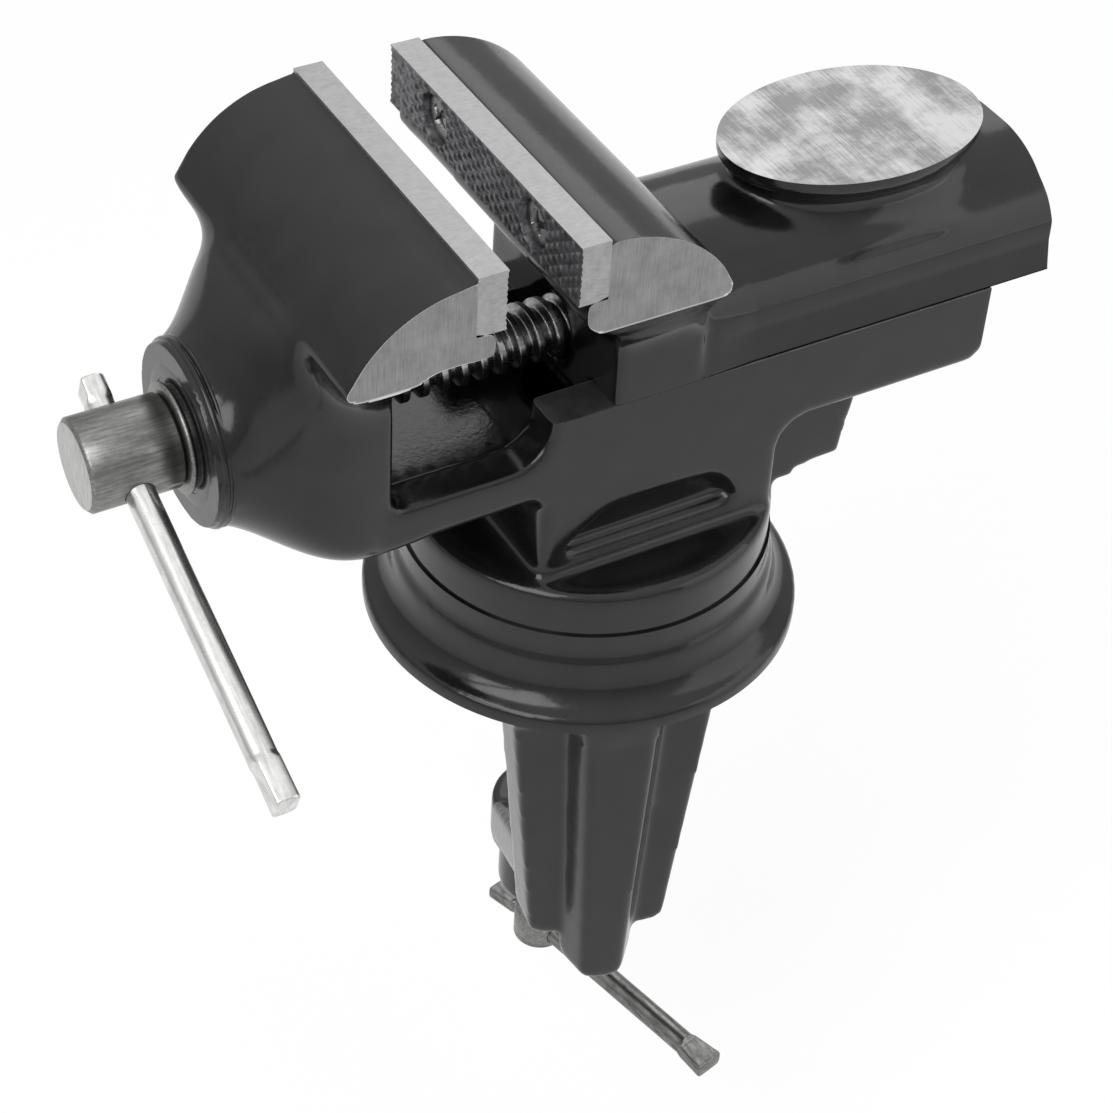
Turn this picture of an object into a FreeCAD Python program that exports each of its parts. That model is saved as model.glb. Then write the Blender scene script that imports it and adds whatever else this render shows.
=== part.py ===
"""Clamp-on swivel bench vise with an anvil, in millimetres.

The origin is on the swivel axis, on the flat underside of the clamp flange. +X runs along the spindle
from its head towards the anvil, -Y is the side of the vise that is seen first, and +Z is up.
Setbacks are measured from the swivel axis towards the spindle's head, so they count along -X.
Levels are heights above the flange's underside.
"""
import FreeCAD
import Part
import Sketcher
import math
import os

SIZES = {
    "jaws": (
        ("jaw_width", 70.0, "length of both jaws and their plates"),
        ("jaw_gap", 13.6, "opening between the plates as drawn"),
        ("rear_face_setback", 26.2, "swivel axis to the rear plate's face"),
        ("plate_thickness", 5.7, "jaw plates"),
        ("plate_height", 12.0, "jaw plates"),
        ("plate_level", 100.6, "underside of the plates"),
        ("plate_screw_spread", 36.0, "between the two screws of a plate"),
        ("plate_screw_shank", 5.0, "shank diameter"),
        ("plate_screw_head", 9.6, "countersunk head diameter"),
        ("plate_screw_sink", 0.25, "head below the plate's face"),
        ("plate_screw_length", 13.0, "head to tip"),
        ("ledge_setback", 2.0, "plate face to the casting's ledge below it"),
        ("front_wing_drop", 1.4, "plate top to the casting's top"),
        ("front_wing_crown_run", 15.6, "plate back to the corner that the front roof rounds"),
        ("front_wing_reach", 23.9, "plate back to the nose of the front wing"),
        ("front_wing_round", 24.9, "roof of the front wing"),
        ("front_nose_round", 1.5, "nose of the front wing"),
        ("front_wing_level", 95.7, "underside of the front wing"),
        ("rear_wing_drop", 0.6, "plate top to the casting's top"),
        ("rear_wing_crown_run", 15.47, "plate back to the corner that the rear roof rounds"),
        ("rear_wing_reach", 25.85, "plate back to the nose of the rear wing"),
        ("rear_wing_round", 28.0, "roof of the rear wing"),
        ("rear_nose_round", 1.9, "nose of the rear wing"),
        ("rear_wing_level", 96.0, "underside of the rear wing"),
    ),
    "bed": (
        ("bed_width", 48.0, "bed, hood and the sides of the front block"),
        ("rail_level", 65.9, "top of the rails"),
        ("bed_level", 48.45, "underside of the bed"),
        ("bed_reach", 73.9, "swivel axis to the rear end of the bed"),
        ("bed_corner", 2.5, "lower rear corner"),
        ("channel_width", 30.6, "between the rail lips"),
        ("lip_thickness", 7.0, "rail lips"),
        ("undercut_width", 38.4, "channel below the lips"),
        ("channel_level", 52.5, "floor of the channel"),
        ("notch_level", 57.1, "floor of the notch between front block and rails"),
        ("notch_rear_setback", 22.75, "front end of the rails"),
        ("notch_front_setback", 54.5, "rear face of the front block"),
        ("notch_rear_round", 8.0, "notch corner at the rails"),
        ("notch_front_round", 2.0, "notch corner at the front block"),
        ("window_start", 54.0, "core window in the bed's floor"),
        ("window_length", 13.0, "core window in the bed's floor"),
        ("window_width", 16.0, "core window in the bed's floor"),
    ),
    "front block": (
        ("root_setback", 56.5, "rearmost section"),
        ("root_half", 24.0, "half width of that section"),
        ("root_low", 44.9, "its underside"),
        ("root_high", 95.9, "its top"),
        ("root_lower_round", 6.4, "its lower corners"),
        ("root_upper_round", 1.0, "its upper corners"),
        ("cheek_setback", 67.5, "second section"),
        ("cheek_half", 23.8, "half width of that section"),
        ("cheek_low", 47.2, "its underside"),
        ("cheek_high", 96.6, "its top"),
        ("cheek_lower_round", 9.0, "its lower corners"),
        ("cheek_upper_round", 7.0, "its upper corners"),
        ("shoulder_setback", 75.0, "third section"),
        ("shoulder_half", 20.4, "half width of that section"),
        ("shoulder_low", 49.4, "its underside"),
        ("shoulder_high", 92.2, "its top"),
        ("shoulder_lower_round", 14.0, "its lower corners"),
        ("shoulder_upper_round", 16.0, "its upper corners"),
        ("throat_setback", 81.0, "foremost section, at the spindle boss"),
        ("throat_half", 16.9, "half width of that section"),
        ("throat_low", 50.8, "its underside"),
        ("throat_high", 86.0, "its top"),
        ("throat_lower_round", 16.6, "its lower corners"),
        ("throat_upper_round", 16.6, "its upper corners"),
        ("belly_setback", 46.5, "where the belly has run out into the bed"),
        ("belly_round", 1.2, "lower corners where the belly runs out"),
        ("front_flare_level", 83.5, "where the front wing's flare leaves the flank"),
        ("front_flare_setback", 70.5, "front edge of the flare under the front wing"),
        ("front_flare_run", 8.0, "how far that edge leans back at its foot"),
        ("flare_round", 9.0, "hollow between flank and wing"),
    ),
    "spindle boss": (
        ("spindle_level", 68.1, "spindle axis"),
        ("boss_diameter", 35.0, "boss flange"),
        ("boss_face_setback", 84.5, "front face of the boss"),
        ("boss_edge_round", 1.4, "front edge of the boss"),
        ("boss_groove_setback", 82.1, "centre of the turned groove"),
        ("boss_groove_width", 0.9, "turned groove"),
        ("boss_groove_depth", 0.8, "turned groove"),
    ),
    "pedestal": (
        ("pedestal_setback", 24.0, "swivel axis to the pedestal's front face"),
        ("pedestal_reach", 28.0, "swivel axis to the pedestal's rear face"),
        ("pedestal_front_round", 3.0, "hollow under the bed at the front"),
        ("pedestal_rear_round", 6.0, "hollow under the bed at the rear"),
        ("pedestal_level", 29.0, "top of the swivel plate"),
        ("scallop_depth", 3.0, "hollows in the pedestal's sides"),
        ("scallop_level", 33.0, "sill of the hollows"),
        ("scallop_height", 8.2, "rise of the hollows"),
        ("scallop_setback", 20.6, "front end of the sill"),
        ("scallop_reach", 18.9, "rear end of the sill"),
        ("gusset_width", 36.0, "rear gusset"),
        ("gusset_reach", 50.4, "rear gusset"),
        ("gusset_step_level", 40.0, "lower end of its upper step"),
        ("gusset_step_depth", 3.3, "its step"),
        ("gusset_step_height", 4.0, "its step"),
        ("gusset_foot_reach", 37.0, "its foot on the swivel plate"),
        ("swivel_plate_diameter", 73.4, "swivel plate"),
        ("swivel_level", 19.2, "joint between swivel plate and flange"),
        ("swivel_plate_round", 2.0, "upper edge of the swivel plate"),
        ("well_diameter", 27.0, "well for the swivel bolt's head"),
        ("well_level", 31.0, "seat of the swivel bolt's washer"),
    ),
    "slide": (
        ("slide_gap", 0.1, "between slide and rails"),
        ("hood_setback", 10.1, "front face of the slide"),
        ("hood_reach", 87.6, "rear end of the hood"),
        ("hood_shoulder_half", 22.3, "half width where the flanks end"),
        ("hood_shoulder_level", 79.3, "where the flanks end"),
        ("hood_crown_half", 9.0, "half width of the crown before rounding"),
        ("hood_crown_level", 88.0, "crown"),
        ("hood_shoulder_round", 5.0, "edge between flank and slope"),
        ("hood_crown_round", 20.0, "edge between slope and crown"),
        ("neck_bend_level", 81.0, "where the slide's face turns forward under the jaw"),
        ("neck_bend_round", 14.0, "hollow of that turn"),
        ("neck_reach", 8.0, "foot of the neck's back on the hood"),
        ("neck_top_reach", 5.0, "top of the neck's back"),
        ("flare_level", 79.5, "where the rear wing's flare leaves the flank"),
        ("anvil_reach", 53.0, "swivel axis to the anvil's centre"),
        ("anvil_long", 55.0, "anvil along the vise"),
        ("anvil_short", 37.4, "anvil across the vise"),
        ("anvil_level", 94.9, "anvil's face"),
        ("anvil_rim", 2.6, "depth of its ground rim"),
        ("anvil_undercut", 3.0, "how far the neck draws in below the rim"),
        ("anvil_waist", 3.0, "rim to the narrowest place of the neck"),
        ("anvil_skirt", 3.6, "how far the neck's foot stands out past the rim"),
        ("anvil_foot_depth", 8.0, "waist to the foot inside the hood"),
        ("guide_depth", 7.15, "guide below the rails' top"),
        ("guide_reach", 82.0, "rear end of the guide"),
        ("cavity_start", 24.0, "front end of the hollow"),
        ("cavity_width", 26.0, "hollow inside the hood"),
        ("cavity_level", 79.0, "top of the hollow"),
        ("keeper_width", 37.2, "keeper plate"),
        ("keeper_thickness", 3.6, "keeper plate"),
        ("keeper_setback", 8.0, "front end of the keeper plate"),
        ("keeper_length", 36.0, "keeper plate"),
        ("keeper_screw_shank", 4.0, "shank diameter"),
        ("keeper_screw_head", 7.6, "countersunk head diameter"),
        ("keeper_screw_length", 9.5, "head to tip"),
        ("keeper_screw_spread", 24.6, "across the vise"),
        ("keeper_screw_pitch", 26.0, "along the vise"),
        ("keeper_screw_start", 3.0, "front pair behind the swivel axis' front, as setback"),
        ("nut_width", 18.0, "nut block"),
        ("nut_length", 20.0, "nut block"),
        ("nut_setback", 2.0, "front end of the nut block"),
        ("nut_rise", 9.0, "spindle axis to the nut's top"),
        ("nut_gap", 0.1, "nut block in its pocket"),
        ("spindle_pass", 0.8, "radial room for the spindle in the slide's walls"),
    ),
    "spindle": (
        ("spindle_diameter", 11.9, "outside of the screw"),
        ("running_gap", 0.05, "radial clearance of turning fits"),
        ("spindle_reach", 46.0, "swivel axis to the spindle's end"),
        ("spindle_tip_round", 1.5, "chamfer of the spindle's end"),
        ("head_diameter", 17.4, "turned head"),
        ("head_length", 17.5, "turned head"),
        ("head_edge", 0.8, "chamfer of the head"),
        ("washer_diameter", 20.6, "thrust washer"),
        ("washer_thickness", 2.0, "thrust washer"),
        ("bar_hole_share", 0.495, "place of the bar hole along the head"),
        ("bar_hole_gap", 0.1, "radial room of both bars in their holes"),
        ("collar_diameter", 20.0, "collar inside the front block"),
        ("collar_length", 6.0, "collar inside the front block"),
        ("collar_gap", 0.2, "collar to the front block's rear face"),
        ("pin_diameter", 3.0, "cross pin of the collar"),
    ),
    "bars": (
        ("bar_diameter", 5.5, "spindle bar"),
        ("bar_angle", 21.74, "degrees that the spindle bar leans below the level"),
        ("bar_long_reach", 71.0, "spindle axis to the bar's low end"),
        ("bar_short_reach", 14.9, "spindle axis to the bar's high end"),
        ("bar_long_flare", 9.5, "flattened low end"),
        ("bar_short_flare", 4.9, "flattened high end"),
        ("bar_flare_width", 6.5, "width of its flattened ends"),
        ("bar_flare_thickness", 4.3, "thickness of its flattened ends"),
        ("clamp_bar_diameter", 5.3, "clamp bar"),
        ("clamp_bar_angle", 13.82, "degrees from the sideways direction"),
        ("clamp_bar_long_reach", 56.4, "clamp axis to the near end"),
        ("clamp_bar_short_reach", 14.2, "clamp axis to the far end"),
        ("clamp_bar_flare", 8.0, "flattened ends"),
        ("clamp_flare_width", 7.2, "width of its flattened ends"),
        ("clamp_flare_thickness", 3.6, "thickness of its flattened ends"),
        ("flare_corner", 0.8, "edges of all flattened ends"),
    ),
    "clamp": (
        ("bracket_angle", 18.0, "degrees that the bracket is turned under the vise"),
        ("flange_diameter", 88.0, "clamp flange"),
        ("flange_edge", 3.0, "thickness of the flange's rim"),
        ("flange_slope_radius", 39.3, "where the flange's flare would meet its rim"),
        ("flange_slope_level", 4.6, "where the flange's flare would meet its rim"),
        ("flange_flare_round", 7.4, "hollow of the flare"),
        ("collet_radius", 38.2, "upper end of the flare"),
        ("collet_level", 13.0, "upper end of the flare"),
        ("neck_radius", 37.2, "short cylinder below the joint"),
        ("neck_level", 13.8, "lower end of that cylinder"),
        ("column_top_half", 20.0, "half width of the column's outer face at the flange"),
        ("column_foot_half", 14.0, "half width of that face at the arm"),
        ("column_draft", 1.5, "how far each side stands out more at the inner face"),
        ("column_face", 36.5, "swivel axis to the column's outer face"),
        ("column_thickness", 10.0, "column plate"),
        ("column_depth", 66.0, "foot of the column below the flange"),
        ("column_corner", 3.0, "lower corners of the column"),
        ("rib_face", 43.5, "swivel axis to the rib's outer face"),
        ("rib_top_half", 6.8, "half width of the rib's outer face at the flange"),
        ("rib_foot_half", 4.1, "half width of that face at its foot"),
        ("rib_draft", 3.7, "how far each side of the rib stands out more at the column's face"),
        ("rib_foot_depth", 74.0, "foot of the rib below the flange"),
        ("rib_foot_round", 2.5, "corners of the rib's foot"),
        ("clamp_offset", 12.5, "swivel axis to the clamp screw's axis, away from the column"),
        ("arm_root_depth", 53.5, "top of the arm at the column, below the flange"),
        ("arm_end_depth", 77.0, "top of the arm at the clamp screw, below the flange"),
        ("arm_thickness", 12.0, "arm, measured upright"),
        ("arm_half", 12.8, "half width of the arm and radius of its round end"),
        ("arm_boss_diameter", 21.0, "threaded boss"),
        ("arm_boss_depth", 104.0, "lower face of the boss below the flange"),
        ("clamp_screw_diameter", 10.0, "clamp screw"),
        ("clamp_head_diameter", 12.2, "head of the clamp screw"),
        ("clamp_head_length", 10.0, "head of the clamp screw"),
        ("clamp_head_depth", 113.8, "upper face of that head below the flange"),
        ("clamp_bar_depth", 119.9, "clamp bar below the flange"),
        ("pad_depth", 14.0, "face of the pad below the flange"),
        ("pad_diameter", 30.0, "pressure pad"),
        ("pad_thickness", 4.5, "pressure pad"),
        ("pad_edge", 1.2, "edge of the pad"),
        ("cup_diameter", 17.0, "socket under the pad"),
        ("cup_depth", 6.5, "socket under the pad"),
        ("journal_diameter", 8.0, "top of the clamp screw"),
        ("journal_shoulder_gap", 0.5, "screw's shoulder to the socket's mouth"),
        ("ring_width", 1.2, "snap ring"),
        ("ring_height", 1.2, "snap ring"),
        ("ring_gap", 0.1, "room round the snap ring"),
        ("ring_seat", 2.0, "snap ring above the socket's mouth"),
    ),
    "swivel bolt": (
        ("bolt_diameter", 10.0, "shank"),
        ("bolt_length", 29.5, "under the head"),
        ("bolt_flats", 16.6, "across the head's flats"),
        ("bolt_head_height", 6.4, "head"),
        ("plain_washer_diameter", 21.0, "plain washer"),
        ("plain_washer_thickness", 2.0, "plain washer"),
        ("spring_washer_diameter", 17.6, "spring washer"),
        ("spring_washer_thickness", 2.5, "spring washer"),
        ("spring_washer_slot", 1.2, "cut through the spring washer"),
        ("hole_end_gap", 1.5, "tapped holes run deeper than their screws by this"),
        ("screw_gap", 0.05, "radial room of screws in their holes"),
    ),
    "tools": (
        ("overrun", 1.0, "cuts start and end outside the solid by this"),
    ),
}


class Size:
    """A size kept twice: its value now, and the expression that ties it to the sheet."""

    def __init__(self, value, text):
        self.value = value
        self.text = text

    def join(self, other, sign, value):
        return Size(value, "(%s %s %s)" % (self.text, sign, text_of(other)))

    def __add__(self, other):
        return self.join(other, "+", self.value + value_of(other))

    def __sub__(self, other):
        return self.join(other, "-", self.value - value_of(other))

    def __mul__(self, other):
        return self.join(other, "*", self.value * value_of(other))

    def __truediv__(self, other):
        return self.join(other, "/", self.value / value_of(other))

    def __neg__(self):
        return Size(-self.value, "(-1 * %s)" % self.text)


def value_of(term):
    """The number now behind a size or a plain number."""
    return term.value if isinstance(term, Size) else float(term)


def text_of(term):
    """The expression for a size or a plain number."""
    return term.text if isinstance(term, Size) else repr(float(term))


class Sizes:
    """The spreadsheet: each alias is an attribute that gives a Size."""

    def __init__(self, document, groups):
        self.sheet = document.addObject("Spreadsheet::Sheet", "Sizes")
        row = 0
        for title, cells in groups.items():
            row += 1
            self.sheet.set("A%d" % row, title)
            for alias, number, meaning in cells:
                row += 1
                self.sheet.set("A%d" % row, meaning)
                self.sheet.set("B%d" % row, str(number))
                self.sheet.setAlias("B%d" % row, alias)
                setattr(self, alias, Size(number, "Sizes." + alias))

    def __getitem__(self, alias):
        return getattr(self, alias)


doc = FreeCAD.newDocument("BenchVise")
s = Sizes(doc, SIZES)
doc.recompute()


def bind(item, path, size):
    """Ties one property of an object to the sheet."""
    item.setExpression(path, text_of(size))


def new_body(label):
    """An empty body whose label names its file."""
    body = doc.addObject("PartDesign::Body", label)
    body.Label = label
    return body


def new_sketch(body, role, name, offset=0):
    """A sketch on one of the body's own origin planes, moved along that plane's normal by offset."""
    sketch = body.newObject("Sketcher::SketchObject", body.Label + "_" + name)
    plane = [item for item in body.Origin.OriginFeatures if item.Role == role][0]
    sketch.AttachmentSupport = [(plane, "")]
    sketch.MapMode = "FlatFace"
    if isinstance(offset, Size):
        bind(sketch, "AttachmentOffset.Base.z", offset)
    return sketch


def pin(sketch, geometry, point, corner):
    """Holds a sketch point at the corner's two sizes."""
    for kind, place, axis in (("DistanceX", corner[0], -2), ("DistanceY", corner[1], -1)):
        if not isinstance(place, Size):
            sketch.addConstraint(Sketcher.Constraint("PointOnObject", geometry, point, axis))
            continue
        number = sketch.addConstraint(Sketcher.Constraint(kind, -1, 1, geometry, point, place.value))
        bind(sketch, "Constraints[%d]" % number, place)


def outline(sketch, corners):
    """A closed outline of straight runs; a corner's third value rounds it by that radius."""
    count = len(corners)
    places = [FreeCAD.Vector(value_of(corner[0]), value_of(corner[1]), 0) for corner in corners]
    turns = []
    for index, corner in enumerate(corners):
        here = places[index]
        back = (places[index - 1] - here).normalize()
        ahead = (places[(index + 1) % count] - here).normalize()
        if len(corner) < 3:
            turns.append((here, here, None, None))
            continue
        radius = value_of(corner[2])
        half = back.getAngle(ahead) / 2
        reach = radius / math.tan(half)
        centre = here + (back + ahead).normalize() * (radius / math.sin(half))
        turns.append((here + back * reach, here + ahead * reach, centre, radius))
    lines = [sketch.addGeometry(Part.LineSegment(turns[index][1], turns[(index + 1) % count][0]), False)
             for index in range(count)]
    for index, corner in enumerate(corners):
        before, after = lines[index - 1], lines[index]
        start, end, centre, radius = turns[index]
        if centre is None:
            sketch.addConstraint(Sketcher.Constraint("Coincident", before, 2, after, 1))
            pin(sketch, after, 1, corner)
            continue
        leftward = (places[index] - places[index - 1]).cross(end - places[index]).z > 0
        first, last = (start, end) if leftward else (end, start)
        angles = [math.atan2(point.y - centre.y, point.x - centre.x) for point in (first, last)]
        circle = Part.Circle(centre, FreeCAD.Vector(0, 0, 1), radius)
        arc = sketch.addGeometry(Part.ArcOfCircle(circle, angles[0], angles[1]), False)
        virtual = sketch.addGeometry(Part.Point(places[index]), True)
        pin(sketch, virtual, 1, corner)
        sketch.addConstraint(Sketcher.Constraint("PointOnObject", virtual, 1, before))
        sketch.addConstraint(Sketcher.Constraint("PointOnObject", virtual, 1, after))
        sketch.addConstraint(Sketcher.Constraint("Tangent", before, 2, arc, 1 if leftward else 2))
        sketch.addConstraint(Sketcher.Constraint("Tangent", after, 1, arc, 2 if leftward else 1))
        number = sketch.addConstraint(Sketcher.Constraint("Radius", arc, radius))
        bind(sketch, "Constraints[%d]" % number, corner[2])
    return sketch


def circle(sketch, across, up, radius):
    """A whole circle tied to its centre and radius."""
    centre = FreeCAD.Vector(value_of(across), value_of(up), 0)
    round_line = Part.Circle(centre, FreeCAD.Vector(0, 0, 1), radius.value)
    geometry = sketch.addGeometry(round_line, False)
    pin(sketch, geometry, 3, (across, up))
    number = sketch.addConstraint(Sketcher.Constraint("Radius", geometry, radius.value))
    bind(sketch, "Constraints[%d]" % number, radius)
    return sketch


def oval(sketch, across, half_long, half_short):
    """An ellipse along the sketch's first axis, tied to its centre and both half axes."""
    centre = FreeCAD.Vector(across.value, 0, 0)
    far = FreeCAD.Vector(across.value + half_long.value, 0, 0)
    side = FreeCAD.Vector(across.value, half_short.value, 0)
    geometry = sketch.addGeometry(Part.Ellipse(far, side, centre), False)
    sketch.exposeInternalGeometry(geometry)
    major, minor = geometry + 1, geometry + 2
    pin(sketch, geometry, 3, (across, 0))
    sketch.addConstraint(Sketcher.Constraint("Horizontal", major))
    for line, half in ((major, half_long), (minor, half_short)):
        number = sketch.addConstraint(Sketcher.Constraint("Distance", line, 2 * half.value))
        bind(sketch, "Constraints[%d]" % number, half * 2)
    return sketch


def box_outline(sketch, low, high):
    """A rectangle from its lowest to its highest corner."""
    return outline(sketch, [(low[0], low[1]), (high[0], low[1]), (high[0], high[1]), (low[0], high[1])])


def rounded_box(sketch, half_wide, half_tall, corner):
    """A rectangle about the sketch's origin with four round corners."""
    return outline(sketch, [
        (-half_wide, -half_tall, corner),
        (half_wide, -half_tall, corner),
        (half_wide, half_tall, corner),
        (-half_wide, half_tall, corner),
    ])


def feature(body, kind, name, sketch, length=None, both_ways=False, backwards=False):
    """A pad or pocket of the sketch; a pocket that cuts nothing stops the build."""
    doc.recompute()
    before = body.Shape.Volume if kind == "Pocket" else 0
    item = body.newObject("PartDesign::" + kind, body.Label + "_" + name)
    item.Profile = sketch
    item.SideType = "Symmetric" if both_ways else "One side"
    item.Reversed = backwards
    if length is None:
        item.Type = "ThroughAll"
    else:
        bind(item, "Length", length)
    doc.recompute()
    if kind == "Pocket" and not body.Shape.Volume < before:
        raise RuntimeError(item.Name + " cuts nothing")
    return item


def pad(body, name, sketch, length, both_ways=False, backwards=False):
    """Adds the sketch's outline along its normal."""
    return feature(body, "Pad", name, sketch, length, both_ways, backwards)


def pocket(body, name, sketch, length, both_ways=False, backwards=False):
    """Cuts the sketch's outline against its normal."""
    return feature(body, "Pocket", name, sketch, length, both_ways, backwards)


def turn(body, name, sketch, axis, cut=False):
    """Turns the sketch's outline a whole turn about one of the sketch's axes."""
    doc.recompute()
    before = body.Shape.Volume if cut else 0
    kind = "PartDesign::Groove" if cut else "PartDesign::Revolution"
    item = body.newObject(kind, body.Label + "_" + name)
    item.Profile = sketch
    item.ReferenceAxis = (sketch, [axis])
    item.Angle = 360
    doc.recompute()
    if cut and not body.Shape.Volume < before:
        raise RuntimeError(item.Name + " cuts nothing")
    return item


def loft(body, name, sketches):
    """A skin through the sketches in turn."""
    item = body.newObject("PartDesign::AdditiveLoft", body.Label + "_" + name)
    item.Profile = sketches[0]
    item.Sections = sketches[1:]
    item.Ruled = len(sketches) == 2
    doc.recompute()
    return item


def mirror(body, name, items, role):
    """Repeats features on the other side of one of the body's origin planes."""
    item = body.newObject("PartDesign::Mirrored", body.Label + "_" + name)
    item.Originals = items
    item.MirrorPlane = ([plane for plane in body.Origin.OriginFeatures if plane.Role == role][0], [""])
    body.Tip = item
    doc.recompute()
    return item


# Places that several pieces share
rear_face = -s.rear_face_setback
front_face = rear_face - s.jaw_gap
rear_plate_back = rear_face + s.plate_thickness
front_plate_back = front_face - s.plate_thickness
plate_top = s.plate_level + s.plate_height
plate_centre = s.plate_level + s.plate_height / 2
bed_half = s.bed_width / 2
lip_level = s.rail_level - s.lip_thickness
guide_level = s.rail_level - s.guide_depth
seam_level = s.rail_level + s.slide_gap
notch_front = -s.notch_front_setback
boss_face = -s.boss_face_setback
head_back = boss_face - s.washer_thickness
head_front = head_back - s.head_length
spindle_radius = s.spindle_diameter / 2
bore_radius = spindle_radius + s.running_gap
bar_place = head_front + s.head_length * s.bar_hole_share
collar_front = notch_front + s.collar_gap
nut_front = -s.nut_setback
nut_rear = nut_front + s.nut_length
keeper_front = -s.keeper_setback
keeper_foot = guide_level - s.keeper_thickness
bolt_radius = s.bolt_diameter / 2
bolt_tip = (s.well_level + s.plain_washer_thickness + s.spring_washer_thickness) - s.bolt_length
screw_hole = s.plate_screw_shank / 2 + s.screw_gap
clamp_head_top = -s.clamp_head_depth
pad_face = -s.pad_depth
cup_mouth = pad_face - s.pad_thickness - s.cup_depth
ring_low = cup_mouth + s.ring_seat
ring_inner = s.journal_diameter / 2 - s.ring_width / 2
ring_outer = s.journal_diameter / 2 + s.ring_width / 2


def section(body, name, key):
    """One cross-section of the front block, with its own lower and upper corners."""
    half = s[key + "_half"]
    low, high = s[key + "_low"], s[key + "_high"]
    lower, upper = s[key + "_lower_round"], s[key + "_upper_round"]
    sketch = new_sketch(body, "YZ_Plane", name, -s[key + "_setback"])
    return outline(sketch, [
        (-half, low, lower),
        (half, low, lower),
        (half, high, upper),
        (-half, high, upper),
    ])


def wing_outline(sketch, face, back, outward, drop, crown_run, reach, crown_round, nose_round, level):
    """Side view of a jaw: ledge, seat of the plate, round roof and nose; outward is 1 or -1 along X."""
    top = plate_top - drop
    return outline(sketch, [
        (face + s.ledge_setback * outward, level),
        (face + s.ledge_setback * outward, s.plate_level),
        (back, s.plate_level),
        (back, top),
        (back + crown_run * outward, top, crown_round),
        (back + reach * outward, level, nose_round),
    ])


def flare_cut(body, name, level, wing_level, front, length):
    """Takes away what stands outside the hollow between a flank and its wing, on both sides."""
    wing_half = s.jaw_width / 2
    sketch = new_sketch(body, "YZ_Plane", name + "_outline", front)
    outline(sketch, [
        (bed_half, s.rail_level),
        (wing_half + s.overrun, s.rail_level),
        (wing_half + s.overrun, wing_level),
        (wing_half, wing_level),
        (bed_half, level, s.flare_round),
    ])
    cut = pocket(body, name, sketch, length, backwards=True)
    return mirror(body, name + "_other", [cut], "XZ_Plane")


def plate_screw_holes(body, place, backwards):
    """Tapped holes for a plate's screws, drilled from the seat into the casting."""
    depth = s.plate_screw_length - s.plate_thickness + s.plate_screw_sink + s.hole_end_gap
    sketch = new_sketch(body, "YZ_Plane", "screw_holes_outline", place)
    for side in (-1, 1):
        circle(sketch, s.plate_screw_spread * (side / 2), plate_centre, screw_hole)
    return pocket(body, "screw_holes", sketch, depth, backwards=backwards)


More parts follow.
